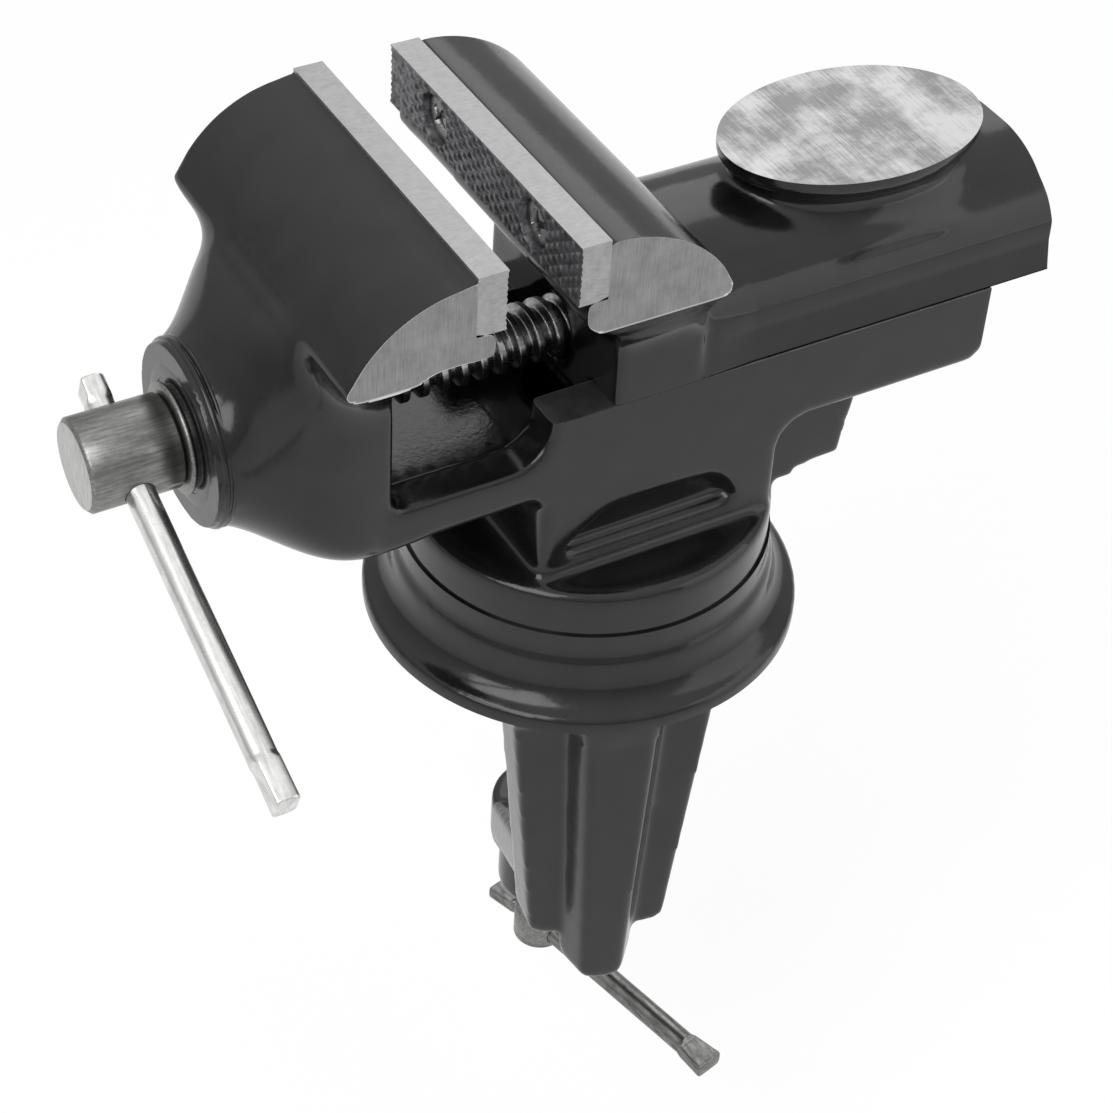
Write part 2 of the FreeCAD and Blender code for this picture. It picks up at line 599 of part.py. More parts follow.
def make_vise_body():
    """Swivel plate, pedestal, bed, front block and front jaw in one casting."""
    body = new_body("vise_body")
    wing_half = s.jaw_width / 2

    front_side = new_sketch(body, "XZ_Plane", "flare_side", 0)
    outline(front_side, [
        (notch_front, s.front_flare_level),
        (notch_front, s.front_wing_level + s.overrun),
        (-s.front_flare_setback, s.front_wing_level + s.overrun),
        (s.front_flare_run - s.front_flare_setback, s.front_flare_level),
    ])
    pad(body, "flare", front_side, wing_half * 2, both_ways=True)
    flare_length = s.front_flare_setback - s.notch_front_setback
    flare_cut(body, "flare_cut", s.front_flare_level, s.front_wing_level,
              -s.front_flare_setback - s.overrun, flare_length + s.overrun * 2)

    loft(body, "front_block", [section(body, key + "_section", key)
                               for key in ("root", "cheek", "shoulder", "throat")])

    profile = new_sketch(body, "XZ_Plane", "bed_side", 0)
    outline(profile, [
        (s.bed_reach, s.rail_level),
        (-s.notch_rear_setback, s.rail_level),
        (-s.notch_rear_setback, s.notch_level, s.notch_rear_round),
        (notch_front, s.notch_level, s.notch_front_round),
        (notch_front, s.front_wing_level + s.overrun),
        (-s.root_setback, s.front_wing_level + s.overrun),
        (-s.root_setback, s.bed_level),
        (-s.pedestal_setback, s.bed_level, s.pedestal_front_round),
        (-s.pedestal_setback, s.pedestal_level - s.overrun),
        (s.pedestal_reach, s.pedestal_level - s.overrun),
        (s.pedestal_reach, s.bed_level, s.pedestal_rear_round),
        (s.bed_reach, s.bed_level, s.bed_corner),
    ])
    pad(body, "bed", profile, s.bed_width, both_ways=True)

    belly_root = new_sketch(body, "YZ_Plane", "belly_root", -s.root_setback)
    belly_end = new_sketch(body, "YZ_Plane", "belly_end", -s.belly_setback)
    for sketch, low, corner in ((belly_root, s.root_low, s.root_lower_round),
                                (belly_end, s.bed_level, s.belly_round)):
        outline(sketch, [
            (-bed_half, low, corner),
            (bed_half, low, corner),
            (bed_half, s.notch_level),
            (-bed_half, s.notch_level),
        ])
    loft(body, "belly", [belly_root, belly_end])

    wing = new_sketch(body, "XZ_Plane", "wing_side", 0)
    wing_outline(wing, front_face, front_plate_back, -1, s.front_wing_drop, s.front_wing_crown_run,
                 s.front_wing_reach, s.front_wing_round, s.front_nose_round, s.front_wing_level)
    pad(body, "wing", wing, s.jaw_width, both_ways=True)

    boss = new_sketch(body, "XZ_Plane", "boss_half", 0)
    bind(boss, "AttachmentOffset.Base.y", s.spindle_level)
    boss_radius = s.boss_diameter / 2
    groove = -s.boss_groove_setback
    outline(boss, [
        (-s.throat_setback + s.overrun, 0),
        (-s.throat_setback + s.overrun, boss_radius),
        (groove + s.boss_groove_width, boss_radius),
        (groove + s.boss_groove_width / 2, boss_radius - s.boss_groove_depth),
        (groove - s.boss_groove_width / 2, boss_radius - s.boss_groove_depth),
        (groove - s.boss_groove_width, boss_radius),
        (boss_face, boss_radius, s.boss_edge_round),
        (boss_face, 0),
    ])
    turn(body, "boss", boss, "H_Axis")

    plate = new_sketch(body, "XZ_Plane", "swivel_plate_half", 0)
    plate_radius = s.swivel_plate_diameter / 2
    outline(plate, [
        (0, s.swivel_level),
        (plate_radius, s.swivel_level),
        (plate_radius, s.pedestal_level, s.swivel_plate_round),
        (0, s.pedestal_level),
    ])
    turn(body, "swivel_plate", plate, "V_Axis")

    gusset = new_sketch(body, "XZ_Plane", "gusset_side", 0)
    step = s.gusset_reach - s.gusset_step_depth
    outline(gusset, [
        (0, s.pedestal_level - s.overrun),
        (s.gusset_foot_reach, s.pedestal_level - s.overrun),
        (s.gusset_foot_reach, s.pedestal_level + s.overrun / 2),
        (step, s.pedestal_level + s.overrun),
        (step, s.gusset_step_level - s.gusset_step_height),
        (s.gusset_reach, s.gusset_step_level),
        (s.gusset_reach, s.bed_level + s.overrun),
        (0, s.bed_level + s.overrun),
    ])
    pad(body, "gusset", gusset, s.gusset_width, both_ways=True)

    scallop = new_sketch(body, "XZ_Plane", "scallop_outline", bed_half - s.scallop_depth)
    middle = (s.scallop_reach - s.scallop_setback) / 2
    outline(scallop, [
        (-s.scallop_setback, s.scallop_level),
        (s.scallop_reach, s.scallop_level),
        (s.scallop_reach - s.scallop_height / 2, s.scallop_level + s.scallop_height, s.scallop_height),
        (middle - s.scallop_height, s.scallop_level + s.scallop_height, s.scallop_height),
    ])
    cut = pocket(body, "scallop", scallop, s.scallop_depth + s.overrun, backwards=True)
    mirror(body, "scallop_other", [cut], "XZ_Plane")

    channel = new_sketch(body, "YZ_Plane", "channel_outline", notch_front)
    half = s.channel_width / 2
    box_outline(channel, (-half, s.channel_level), (half, s.rail_level + s.overrun))
    pocket(body, "channel", channel, s.notch_front_setback + s.bed_reach + s.overrun, backwards=True)
    undercut = new_sketch(body, "YZ_Plane", "undercut_outline", -s.notch_rear_setback)
    half = s.undercut_width / 2
    box_outline(undercut, (-half, s.channel_level), (half, lip_level))
    pocket(body, "undercut", undercut, s.notch_rear_setback + s.bed_reach + s.overrun, backwards=True)

    window = new_sketch(body, "XY_Plane", "window_outline", s.channel_level + s.overrun)
    half = s.window_width / 2
    box_outline(window, (s.window_start, -half), (s.window_start + s.window_length, half))
    pocket(body, "window", window, s.channel_level - s.bed_level + s.overrun * 2)

    well = new_sketch(body, "XY_Plane", "well_outline", s.channel_level + s.overrun)
    circle(well, 0, 0, s.well_diameter / 2)
    pocket(body, "well", well, s.channel_level - s.well_level + s.overrun)
    bolt_hole = new_sketch(body, "XY_Plane", "bolt_hole_outline", s.well_level + s.overrun)
    circle(bolt_hole, 0, 0, bolt_radius + s.running_gap)
    pocket(body, "bolt_hole", bolt_hole, s.well_level - s.swivel_level + s.overrun * 2)

    bore = new_sketch(body, "YZ_Plane", "bore_outline", boss_face - s.overrun)
    circle(bore, 0, s.spindle_level, bore_radius)
    pocket(body, "bore", bore, s.boss_face_setback - s.notch_front_setback + s.overrun * 2, backwards=True)
    plate_screw_holes(body, front_plate_back, False)
    return body


def make_slide_casting():
    """Hood, rear jaw, guide and anvil in one sliding casting."""
    body = new_body("slide_casting")
    front = -s.hood_setback

    neck = new_sketch(body, "XZ_Plane", "neck_side", 0)
    ledge = rear_face + s.ledge_setback
    outline(neck, [
        (front, seam_level),
        (s.neck_reach, seam_level),
        (s.neck_reach, s.hood_crown_level),
        (s.neck_top_reach, s.rear_wing_level + s.overrun),
        (ledge, s.rear_wing_level + s.overrun),
        (ledge, s.rear_wing_level),
        (front, s.neck_bend_level, s.neck_bend_round),
    ])
    pad(body, "neck", neck, s.jaw_width, both_ways=True)
    flare_cut(body, "flare_cut", s.flare_level, s.rear_wing_level,
              ledge - s.overrun, s.rear_face_setback + s.neck_reach + s.overrun * 2)

    hood = new_sketch(body, "YZ_Plane", "hood_section", front)
    outline(hood, [
        (-bed_half, seam_level),
        (bed_half, seam_level),
        (s.hood_shoulder_half, s.hood_shoulder_level, s.hood_shoulder_round),
        (s.hood_crown_half, s.hood_crown_level, s.hood_crown_round),
        (-s.hood_crown_half, s.hood_crown_level, s.hood_crown_round),
        (-s.hood_shoulder_half, s.hood_shoulder_level, s.hood_shoulder_round),
    ])
    pad(body, "hood", hood, s.hood_setback + s.hood_reach)

    wing = new_sketch(body, "XZ_Plane", "wing_side", 0)
    wing_outline(wing, rear_face, rear_plate_back, 1, s.rear_wing_drop, s.rear_wing_crown_run,
                 s.rear_wing_reach, s.rear_wing_round, s.rear_nose_round, s.rear_wing_level)
    pad(body, "wing", wing, s.jaw_width, both_ways=True)

    guide = new_sketch(body, "YZ_Plane", "guide_section", front)
    half = s.channel_width / 2 - s.slide_gap
    box_outline(guide, (-half, guide_level), (half, seam_level + s.overrun))
    pad(body, "guide", guide, s.hood_setback + s.guide_reach)

    rim_foot = s.anvil_level - s.anvil_rim
    waist = rim_foot - s.anvil_waist
    rings = (
        ("foot", waist - s.anvil_foot_depth, s.anvil_skirt),
        ("waist", waist, -s.anvil_undercut),
        ("rim_foot", rim_foot, Size(0, "0")),
    )
    sketches = []
    for name, level, growth in rings:
        sketch = new_sketch(body, "XY_Plane", "anvil_" + name, level)
        sketches.append(oval(sketch, s.anvil_reach, s.anvil_long / 2 + growth, s.anvil_short / 2 + growth))
    loft(body, "anvil_neck", sketches)
    face = new_sketch(body, "XY_Plane", "anvil_face", rim_foot)
    oval(face, s.anvil_reach, s.anvil_long / 2, s.anvil_short / 2)
    pad(body, "anvil", face, s.anvil_rim)

    cavity = new_sketch(body, "YZ_Plane", "cavity_section", s.cavity_start)
    half = s.cavity_width / 2
    box_outline(cavity, (-half, guide_level - s.overrun), (half, s.cavity_level))
    pocket(body, "cavity", cavity, s.guide_reach - s.cavity_start, backwards=True)

    pocket_half = s.nut_width / 2 + s.nut_gap
    pocket_front = nut_front - s.nut_gap
    nut_seat = new_sketch(body, "YZ_Plane", "nut_pocket_section", pocket_front)
    box_outline(nut_seat, (-pocket_half, guide_level - s.overrun),
                (pocket_half, s.spindle_level + s.nut_rise + s.nut_gap))
    pocket(body, "nut_pocket", nut_seat, s.nut_length + s.nut_gap * 2, backwards=True)
    passage = new_sketch(body, "YZ_Plane", "passage_outline", front - s.overrun)
    circle(passage, 0, s.spindle_level, spindle_radius + s.spindle_pass)
    pocket(body, "passage", passage, s.hood_setback + s.cavity_start + s.overrun * 2, backwards=True)

    holes = new_sketch(body, "XY_Plane", "keeper_holes_outline", guide_level - s.overrun)
    keeper_screw_places(holes, s.keeper_screw_shank / 2 + s.screw_gap)
    depth = s.keeper_screw_length - s.keeper_thickness + s.hole_end_gap
    pocket(body, "keeper_holes", holes, depth + s.overrun, backwards=True)
    plate_screw_holes(body, rear_plate_back, True)
    return body


def keeper_screw_places(sketch, radius):
    """Four circles where the keeper plate's screws stand."""
    for side in (-1, 1):
        for along in (0, 1):
            place = s.keeper_screw_pitch * along - s.keeper_screw_start
            circle(sketch, place, s.keeper_screw_spread * (side / 2), radius)


def make_jaw_plate(label, face, outward):
    """A ground plate with two countersunk holes; its own origin is the centre of its gripping face."""
    body = new_body(label)
    half, rise = s.jaw_width / 2, s.plate_height / 2
    sketch = new_sketch(body, "YZ_Plane", "face_outline", 0)
    box_outline(sketch, (-half, -rise), (half, rise))
    pad(body, "plate", sketch, s.plate_thickness, backwards=outward < 0)
    hole = new_sketch(body, "XY_Plane", "hole_half", 0)
    bind(hole, "AttachmentOffset.Base.y", s.plate_screw_spread / 2)
    mouth = s.plate_screw_head / 2 + s.screw_gap
    sink = s.plate_screw_sink
    outline(hole, [
        (-s.overrun * outward, 0),
        (-s.overrun * outward, mouth),
        (sink * outward, mouth),
        ((sink + mouth - screw_hole) * outward, screw_hole),
        ((s.plate_thickness + s.overrun) * outward, screw_hole),
        ((s.plate_thickness + s.overrun) * outward, 0),
    ])
    cut = turn(body, "hole", hole, "H_Axis", cut=True)
    mirror(body, "hole_other", [cut], "XZ_Plane")
    bind(body, "Placement.Base.x", face)
    bind(body, "Placement.Base.z", plate_centre)
    return body


def make_plate_screws(label, face, outward):
    """Two countersunk screws in one group."""
    body = new_body(label)
    sketch = new_sketch(body, "XY_Plane", "screw_half", 0)
    bind(sketch, "AttachmentOffset.Base.y", s.plate_screw_spread / 2)
    head, shank = s.plate_screw_head / 2, s.plate_screw_shank / 2
    outline(sketch, [
        (0, 0),
        (0, head),
        ((head - shank) * outward, shank),
        (s.plate_screw_length * outward, shank),
        (s.plate_screw_length * outward, 0),
    ])
    screw = turn(body, "screw", sketch, "H_Axis")
    mirror(body, "screw_other", [screw], "XZ_Plane")
    bind(body, "Placement.Base.x", face + s.plate_screw_sink * outward)
    bind(body, "Placement.Base.z", plate_centre)
    return body


def make_keeper_plate():
    """Plate under the guide, with countersunk screw holes open downwards."""
    body = new_body("keeper_plate")
    half = s.keeper_width / 2
    sketch = new_sketch(body, "XY_Plane", "plate_outline", keeper_foot)
    box_outline(sketch, (keeper_front, -half), (keeper_front + s.keeper_length, half))
    pad(body, "plate", sketch, s.keeper_thickness)
    shank = s.keeper_screw_shank / 2 + s.screw_gap
    holes = new_sketch(body, "XY_Plane", "holes_outline", guide_level + s.overrun)
    keeper_screw_places(holes, shank)
    middle = guide_level.value - s.keeper_thickness.value / 2
    drilled = pocket(body, "holes", holes, s.keeper_thickness + s.overrun * 2)
    edges = ["Edge%d" % (index + 1) for index, edge in enumerate(drilled.Shape.Edges)
             if edge.Curve.TypeId == "Part::GeomCircle" and edge.BoundBox.ZMax < middle]
    sink = body.newObject("PartDesign::Chamfer", "keeper_plate_sinks")
    sink.Base = (drilled, edges)
    bind(sink, "Size", (s.keeper_screw_head - s.keeper_screw_shank) / 2)
    return body


def make_keeper_screws():
    """Four countersunk screws in one group."""
    head, shank = s.keeper_screw_head / 2, s.keeper_screw_shank / 2
    screws = []
    for side in (-1, 1):
        for along in (0, 1):
            name = "keeper_screw_%d" % (len(screws) + 1)
            cone = doc.addObject("Part::Cone", name + "_head")
            bind(cone, "Radius1", head)
            bind(cone, "Radius2", shank)
            bind(cone, "Height", head - shank)
            rod = doc.addObject("Part::Cylinder", name + "_shank")
            bind(rod, "Radius", shank)
            bind(rod, "Height", s.keeper_screw_length)
            for item in (cone, rod):
                bind(item, "Placement.Base.x", s.keeper_screw_pitch * along - s.keeper_screw_start)
                bind(item, "Placement.Base.y", s.keeper_screw_spread * (side / 2))
                bind(item, "Placement.Base.z", keeper_foot)
            screw = doc.addObject("Part::Fuse", name)
            screw.Base, screw.Tool = cone, rod
            screws.append(screw)
    group = doc.addObject("Part::Compound", "keeper_screws")
    group.Label = "keeper_screws"
    group.Links = screws
    return group


def make_spindle_nut():
    """Nut block that the slide carries."""
    body = new_body("spindle_nut")
    half = s.nut_width / 2
    sketch = new_sketch(body, "YZ_Plane", "block_outline", nut_front)
    box_outline(sketch, (-half, guide_level), (half, s.spindle_level + s.nut_rise))
    pad(body, "block", sketch, s.nut_length)
    thread = new_sketch(body, "YZ_Plane", "thread_outline", nut_front - s.overrun)
    circle(thread, 0, s.spindle_level, bore_radius)
    pocket(body, "thread", thread, s.nut_length + s.overrun * 2, backwards=True)
    return body


def make_lead_spindle():
    """Screw with its turned head, along X; its own origin is on its axis above the swivel."""
    body = new_body("lead_spindle")
    sketch = new_sketch(body, "XZ_Plane", "spindle_half", 0)
    head_radius = s.head_diameter / 2
    outline(sketch, [
        (head_front, 0),
        (head_front, head_radius - s.head_edge),
        (head_front + s.head_edge, head_radius),
        (head_back - s.head_edge, head_radius),
        (head_back, head_radius - s.head_edge),
        (head_back, spindle_radius),
        (s.spindle_reach - s.spindle_tip_round, spindle_radius),
        (s.spindle_reach, spindle_radius - s.spindle_tip_round),
        (s.spindle_reach, 0),
    ])
    turn(body, "spindle", sketch, "H_Axis")
    hole = new_sketch(body, "XZ_Plane", "bar_hole_outline", 0)
    circle(hole, bar_place, 0, s.bar_diameter / 2 + s.bar_hole_gap)
    pocket(body, "bar_hole", hole, s.head_diameter + s.overrun * 2, both_ways=True)
    pin_hole = new_sketch(body, "XY_Plane", "pin_hole_outline", 0)
    circle(pin_hole, collar_front + s.collar_length / 2, 0, s.pin_diameter / 2 + s.screw_gap)
    pocket(body, "pin_hole", pin_hole, s.head_diameter, both_ways=True)
    return seat_on_spindle(body)


def seat_on_spindle(body):
    """Lifts a piece made about X to the spindle's axis and turns it with the spindle's bar."""
    bind(body, "Placement.Base.z", s.spindle_level)
    body.Placement.Rotation.Axis = FreeCAD.Vector(1, 0, 0)
    bind(body, "Placement.Rotation.Angle", s.bar_angle)
    return body


def make_ring(label, role, start, inner, outer, length):
    """A plain ring about the normal of one of its own origin planes."""
    body = new_body(label)
    sketch = new_sketch(body, role, "ring_outline", start)
    circle(sketch, 0, 0, outer)
    circle(sketch, 0, 0, inner)
    pad(body, "ring", sketch, length)
    return body


def make_spindle_collar():
    """Collar that keeps the spindle from coming out, with the hole for its pin."""
    body = make_ring("spindle_collar", "YZ_Plane", collar_front, spindle_radius, s.collar_diameter / 2,
                     s.collar_length)
    sketch = new_sketch(body, "XY_Plane", "pin_hole_outline", 0)
    circle(sketch, collar_front + s.collar_length / 2, 0, s.pin_diameter / 2 + s.screw_gap)
    pocket(body, "pin_hole", sketch, s.collar_diameter + s.overrun, both_ways=True)
    return seat_on_spindle(body)


def make_collar_pin():
    """Cross pin through collar and spindle."""
    body = new_body("collar_pin")
    sketch = new_sketch(body, "XY_Plane", "pin_outline", 0)
    circle(sketch, collar_front + s.collar_length / 2, 0, s.pin_diameter / 2)
    pad(body, "pin", sketch, s.collar_diameter - s.overrun, both_ways=True)
    return seat_on_spindle(body)


def make_bar(label, diameter, long_end, short_end, width, thickness):
    """T-bar along Y through its own origin: the long end lies towards -Y; each end is (reach, flare)."""
    body = new_body(label)
    radius = diameter / 2
    nearly_round = radius - s.running_gap
    rod_start = short_end[1] - short_end[0]
    rod = new_sketch(body, "XZ_Plane", "rod_outline", rod_start)
    rounded_box(rod, radius, radius, nearly_round)
    pad(body, "rod", rod, long_end[0] - long_end[1] - rod_start)
    for name, (reach, length), way in (("long", long_end, 1), ("short", short_end, -1)):
        start = new_sketch(body, "XZ_Plane", name + "_start", (reach - length) * way)
        rounded_box(start, radius, radius, nearly_round)
        end = new_sketch(body, "XZ_Plane", name + "_end", reach * way)
        rounded_box(end, width / 2, thickness / 2, s.flare_corner)
        loft(body, name + "_end_flare", [start, end])
    return body


def make_clamp_bracket():
    """Flange, column, rib, arm and threaded boss in one casting, turned under the vise."""
    body = new_body("clamp_bracket")
    flange = new_sketch(body, "XZ_Plane", "flange_half", 0)
    outline(flange, [
        (0, 0),
        (s.flange_diameter / 2, 0),
        (s.flange_diameter / 2, s.flange_edge),
        (s.flange_slope_radius, s.flange_slope_level, s.flange_flare_round),
        (s.collet_radius, s.collet_level),
        (s.neck_radius, s.neck_level),
        (s.neck_radius, s.swivel_level),
        (0, s.swivel_level),
    ])
    turn(body, "flange", flange, "V_Axis")

    inner_face = s.column_face - s.column_thickness
    tapered_plate(body, "column", inner_face, s.column_face, s.column_depth, s.column_top_half,
                  s.column_foot_half, s.column_draft, s.column_corner)
    rib_inner = s.column_face - s.overrun
    tapered_plate(body, "rib", rib_inner, s.rib_face, s.rib_foot_depth, s.rib_top_half,
                  s.rib_foot_half, s.rib_draft, s.rib_foot_round)

    arm = new_sketch(body, "YZ_Plane", "arm_outline", 0)
    outline(arm, [
        (-inner_face - s.overrun, -s.arm_root_depth),
        (-inner_face - s.overrun, -s.arm_root_depth - s.arm_thickness),
        (s.clamp_offset, -s.arm_end_depth - s.arm_thickness),
        (s.clamp_offset, -s.arm_end_depth),
    ])
    pad(body, "arm", arm, s.arm_half * 2, both_ways=True)
    end = new_sketch(body, "XY_Plane", "arm_end_outline", -s.arm_end_depth)
    circle(end, 0, s.clamp_offset, s.arm_half)
    pad(body, "arm_end", end, s.arm_thickness, backwards=True)
    boss = new_sketch(body, "XY_Plane", "arm_boss_outline", -s.arm_boss_depth)
    circle(boss, 0, s.clamp_offset, s.arm_boss_diameter / 2)
    pad(body, "arm_boss", boss, s.arm_boss_depth - s.arm_end_depth - s.overrun)

    facing = new_sketch(body, "XY_Plane", "arm_facing_outline", -s.arm_root_depth)
    circle(facing, 0, s.clamp_offset, s.cup_diameter / 2 + s.overrun)
    pocket(body, "arm_facing", facing, s.arm_end_depth - s.arm_root_depth)
    bore = new_sketch(body, "XY_Plane", "screw_bore_outline", s.arm_thickness - s.arm_end_depth)
    circle(bore, 0, s.clamp_offset, s.clamp_screw_diameter / 2 + s.running_gap)
    pocket(body, "screw_bore", bore, s.arm_boss_depth - s.arm_end_depth + s.arm_thickness + s.overrun)
    bolt_hole = new_sketch(body, "XY_Plane", "bolt_hole_outline", s.swivel_level + s.overrun)
    circle(bolt_hole, 0, 0, bolt_radius + s.screw_gap)
    pocket(body, "bolt_hole", bolt_hole, s.swivel_level + s.overrun + s.hole_end_gap - bolt_tip)
    bind(body, "Placement.Rotation.Angle", -s.bracket_angle)
    return body


def tapered_plate(body, name, inner, outer, depth, top_half, foot_half, draft, corner):
    """An upright plate that hangs from the flange, narrower below and with sloping sides."""
    sketches = []
    for place, face, growth in (("inner", inner, draft), ("outer", outer, 0)):
        sketch = new_sketch(body, "XZ_Plane", "%s_%s" % (name, place), face)
        sketches.append(outline(sketch, [
            (-top_half - growth, s.overrun),
            (-foot_half - growth, -depth, corner),
            (foot_half + growth, -depth, corner),
            (top_half + growth, s.overrun),
        ]))
    return loft(body, name, sketches)


def seat_on_clamp(body, depth=None, angle=None):
    """Moves a piece made about the swivel axis to the clamp screw's axis."""
    text = text_of(s.clamp_offset)
    turned = text_of(s.bracket_angle)
    body.setExpression("Placement.Base.x", "%s * sin(%s)" % (text, turned))
    body.setExpression("Placement.Base.y", "%s * cos(%s)" % (text, turned))
    if depth is not None:
        bind(body, "Placement.Base.z", -depth)
    if angle is not None:
        bind(body, "Placement.Rotation.Angle", angle)
    return body


def make_clamp_screw():
    """Clamp screw with its turned head below and its journal above, along Z."""
    body = new_body("clamp_screw")
    head, shank, journal = s.clamp_head_diameter / 2, s.clamp_screw_diameter / 2, s.journal_diameter / 2
    shoulder = cup_mouth - s.journal_shoulder_gap
    low = clamp_head_top - s.clamp_head_length
    sketch = new_sketch(body, "XZ_Plane", "screw_half", 0)
    groove = ring_inner - s.ring_gap
    outline(sketch, [
        (0, low),
        (head - s.head_edge, low),
        (head, low + s.head_edge),
        (head, clamp_head_top - s.head_edge),
        (head - s.head_edge, clamp_head_top),
        (shank, clamp_head_top),
        (shank, shoulder),
        (journal, shoulder),
        (journal, ring_low - s.ring_gap),
        (groove, ring_low - s.ring_gap),
        (groove, ring_low + s.ring_height + s.ring_gap),
        (journal, ring_low + s.ring_height + s.ring_gap),
        (journal, pad_face - s.pad_thickness - s.ring_gap),
        (0, pad_face - s.pad_thickness - s.ring_gap),
    ])
    turn(body, "screw", sketch, "V_Axis")
    hole = new_sketch(body, "XZ_Plane", "bar_hole_outline", 0)
    circle(hole, 0, -s.clamp_bar_depth, s.clamp_bar_diameter / 2 + s.bar_hole_gap)
    pocket(body, "bar_hole", hole, s.clamp_head_diameter + s.overrun, both_ways=True)
    return seat_on_clamp(body, angle=s.clamp_bar_angle)


def make_clamp_pad():
    """Pressure pad with the socket that turns on the screw's journal."""
    body = new_body("clamp_pad")
    radius, cup = s.pad_diameter / 2, s.cup_diameter / 2
    socket = s.journal_diameter / 2 + s.running_gap
    groove = ring_outer + s.ring_gap
    pad_foot = pad_face - s.pad_thickness
    sketch = new_sketch(body, "XZ_Plane", "pad_half", 0)
    outline(sketch, [
        (0, pad_face),
        (radius - s.pad_edge, pad_face),
        (radius, pad_face - s.pad_edge),
        (radius, pad_foot),
        (cup, pad_foot),
        (cup, cup_mouth),
        (socket, cup_mouth),
        (socket, ring_low - s.ring_gap / 2),
        (groove, ring_low - s.ring_gap / 2),
        (groove, ring_low + s.ring_height + s.ring_gap / 2),
        (socket, ring_low + s.ring_height + s.ring_gap / 2),
        (socket, pad_foot),
        (0, pad_foot),
    ])
    turn(body, "pad", sketch, "V_Axis")
    return seat_on_clamp(body)


def make_swivel_bolt():
    """Hex bolt, head up in the well."""
    body = new_body("swivel_bolt")
    seat = bolt_tip + s.bolt_length
    sketch = new_sketch(body, "XY_Plane", "head_outline", seat)
    corner = s.bolt_flats / math.sqrt(3)
    turns = [math.radians(60 * index + 30) for index in range(6)]
    outline(sketch, [(corner * math.cos(angle), corner * math.sin(angle)) for angle in turns])
    pad(body, "head", sketch, s.bolt_head_height)
    shank = new_sketch(body, "XY_Plane", "shank_outline", bolt_tip)
    circle(shank, 0, 0, bolt_radius)
    pad(body, "shank", shank, s.bolt_length + s.overrun)
    return body


def make_spring_washer(start, inner):
    """Split washer under the bolt's head."""
    body = make_ring("swivel_spring_washer", "XY_Plane", start, inner, s.spring_washer_diameter / 2,
                     s.spring_washer_thickness)
    slot = new_sketch(body, "XY_Plane", "slot_outline", start + s.spring_washer_thickness + s.overrun)
    half = s.spring_washer_slot / 2
    box_outline(slot, (0, -half), (s.spring_washer_diameter, half))
    pocket(body, "slot", slot, s.spring_washer_thickness + s.overrun * 2)
    return body


bracket = make_clamp_bracket()
washer_hole = bolt_radius + s.screw_gap
swivel_bolt = make_swivel_bolt()
swivel_washer = make_ring("swivel_washer", "XY_Plane", s.well_level, washer_hole,
                          s.plain_washer_diameter / 2, s.plain_washer_thickness)
spring_washer = make_spring_washer(s.well_level + s.plain_washer_thickness, washer_hole)
vise_body = make_vise_body()
front_plate = make_jaw_plate("front_jaw_plate", front_face, -1)
front_screws = make_plate_screws("front_plate_screws", front_face, -1)
slide = make_slide_casting()
rear_plate = make_jaw_plate("rear_jaw_plate", rear_face, 1)
rear_screws = make_plate_screws("rear_plate_screws", rear_face, 1)
keeper = make_keeper_plate()
keeper_screws = make_keeper_screws()
nut = make_spindle_nut()
spindle = make_lead_spindle()
thrust_washer = seat_on_spindle(make_ring("thrust_washer", "YZ_Plane", head_back, bore_radius,
                                          s.washer_diameter / 2, s.washer_thickness))
collar = make_spindle_collar()
collar_pin = make_collar_pin()
spindle_bar = make_bar("spindle_bar", s.bar_diameter, (s.bar_long_reach, s.bar_long_flare),
                       (s.bar_short_reach, s.bar_short_flare), s.bar_flare_width, s.bar_flare_thickness)
bind(spindle_bar, "Placement.Base.x", bar_place)
seat_on_spindle(spindle_bar)
clamp_screw = make_clamp_screw()
clamp_pad = make_clamp_pad()
pad_ring = seat_on_clamp(make_ring("pad_ring", "XY_Plane", ring_low, ring_inner, ring_outer, s.ring_height))
clamp_bar = make_bar("clamp_bar", s.clamp_bar_diameter, (s.clamp_bar_long_reach, s.clamp_bar_flare),
                     (s.clamp_bar_short_reach, s.clamp_bar_flare), s.clamp_flare_width,
                     s.clamp_flare_thickness)
seat_on_clamp(clamp_bar, s.clamp_bar_depth, s.clamp_bar_angle)
doc.recompute()

pieces = [bracket, swivel_bolt, swivel_washer, spring_washer, vise_body, front_plate, front_screws, slide,
          rear_plate, rear_screws, keeper, keeper_screws, nut, spindle, thrust_washer, collar, collar_pin,
          spindle_bar, clamp_screw, clamp_pad, pad_ring, clamp_bar]
for item in doc.Objects:
    if "Invalid" in item.State or "Error" in item.State:
        raise RuntimeError("%s did not build: %s" % (item.Name, item.State))
for piece in pieces:
    if piece.Shape.isNull() or not piece.Shape.isValid():
        raise RuntimeError(piece.Label + " has no valid shape")
os.makedirs("parts", exist_ok=True)
for piece in pieces:
    piece.Shape.exportStep("parts/%s.step" % piece.Label)
    print(piece.Label, len(piece.Shape.Solids), round(piece.Shape.Volume, 1))
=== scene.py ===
"""Looks of a clamp-on swivel bench vise with an anvil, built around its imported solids.

Lengths in the classes are millimetres in the part's own frame: +X runs along the spindle towards the
anvil, -Y is the side seen first, +Z is up, and the origin is on the swivel axis under the clamp flange.
"""

import logging
import math
from contextlib import contextmanager
from dataclasses import dataclass
from enum import Enum
from typing import Callable, Iterator, Mapping, Optional, Sequence, TypeAlias

import bmesh
import bpy
import numpy as np
from mathutils import Matrix, Vector


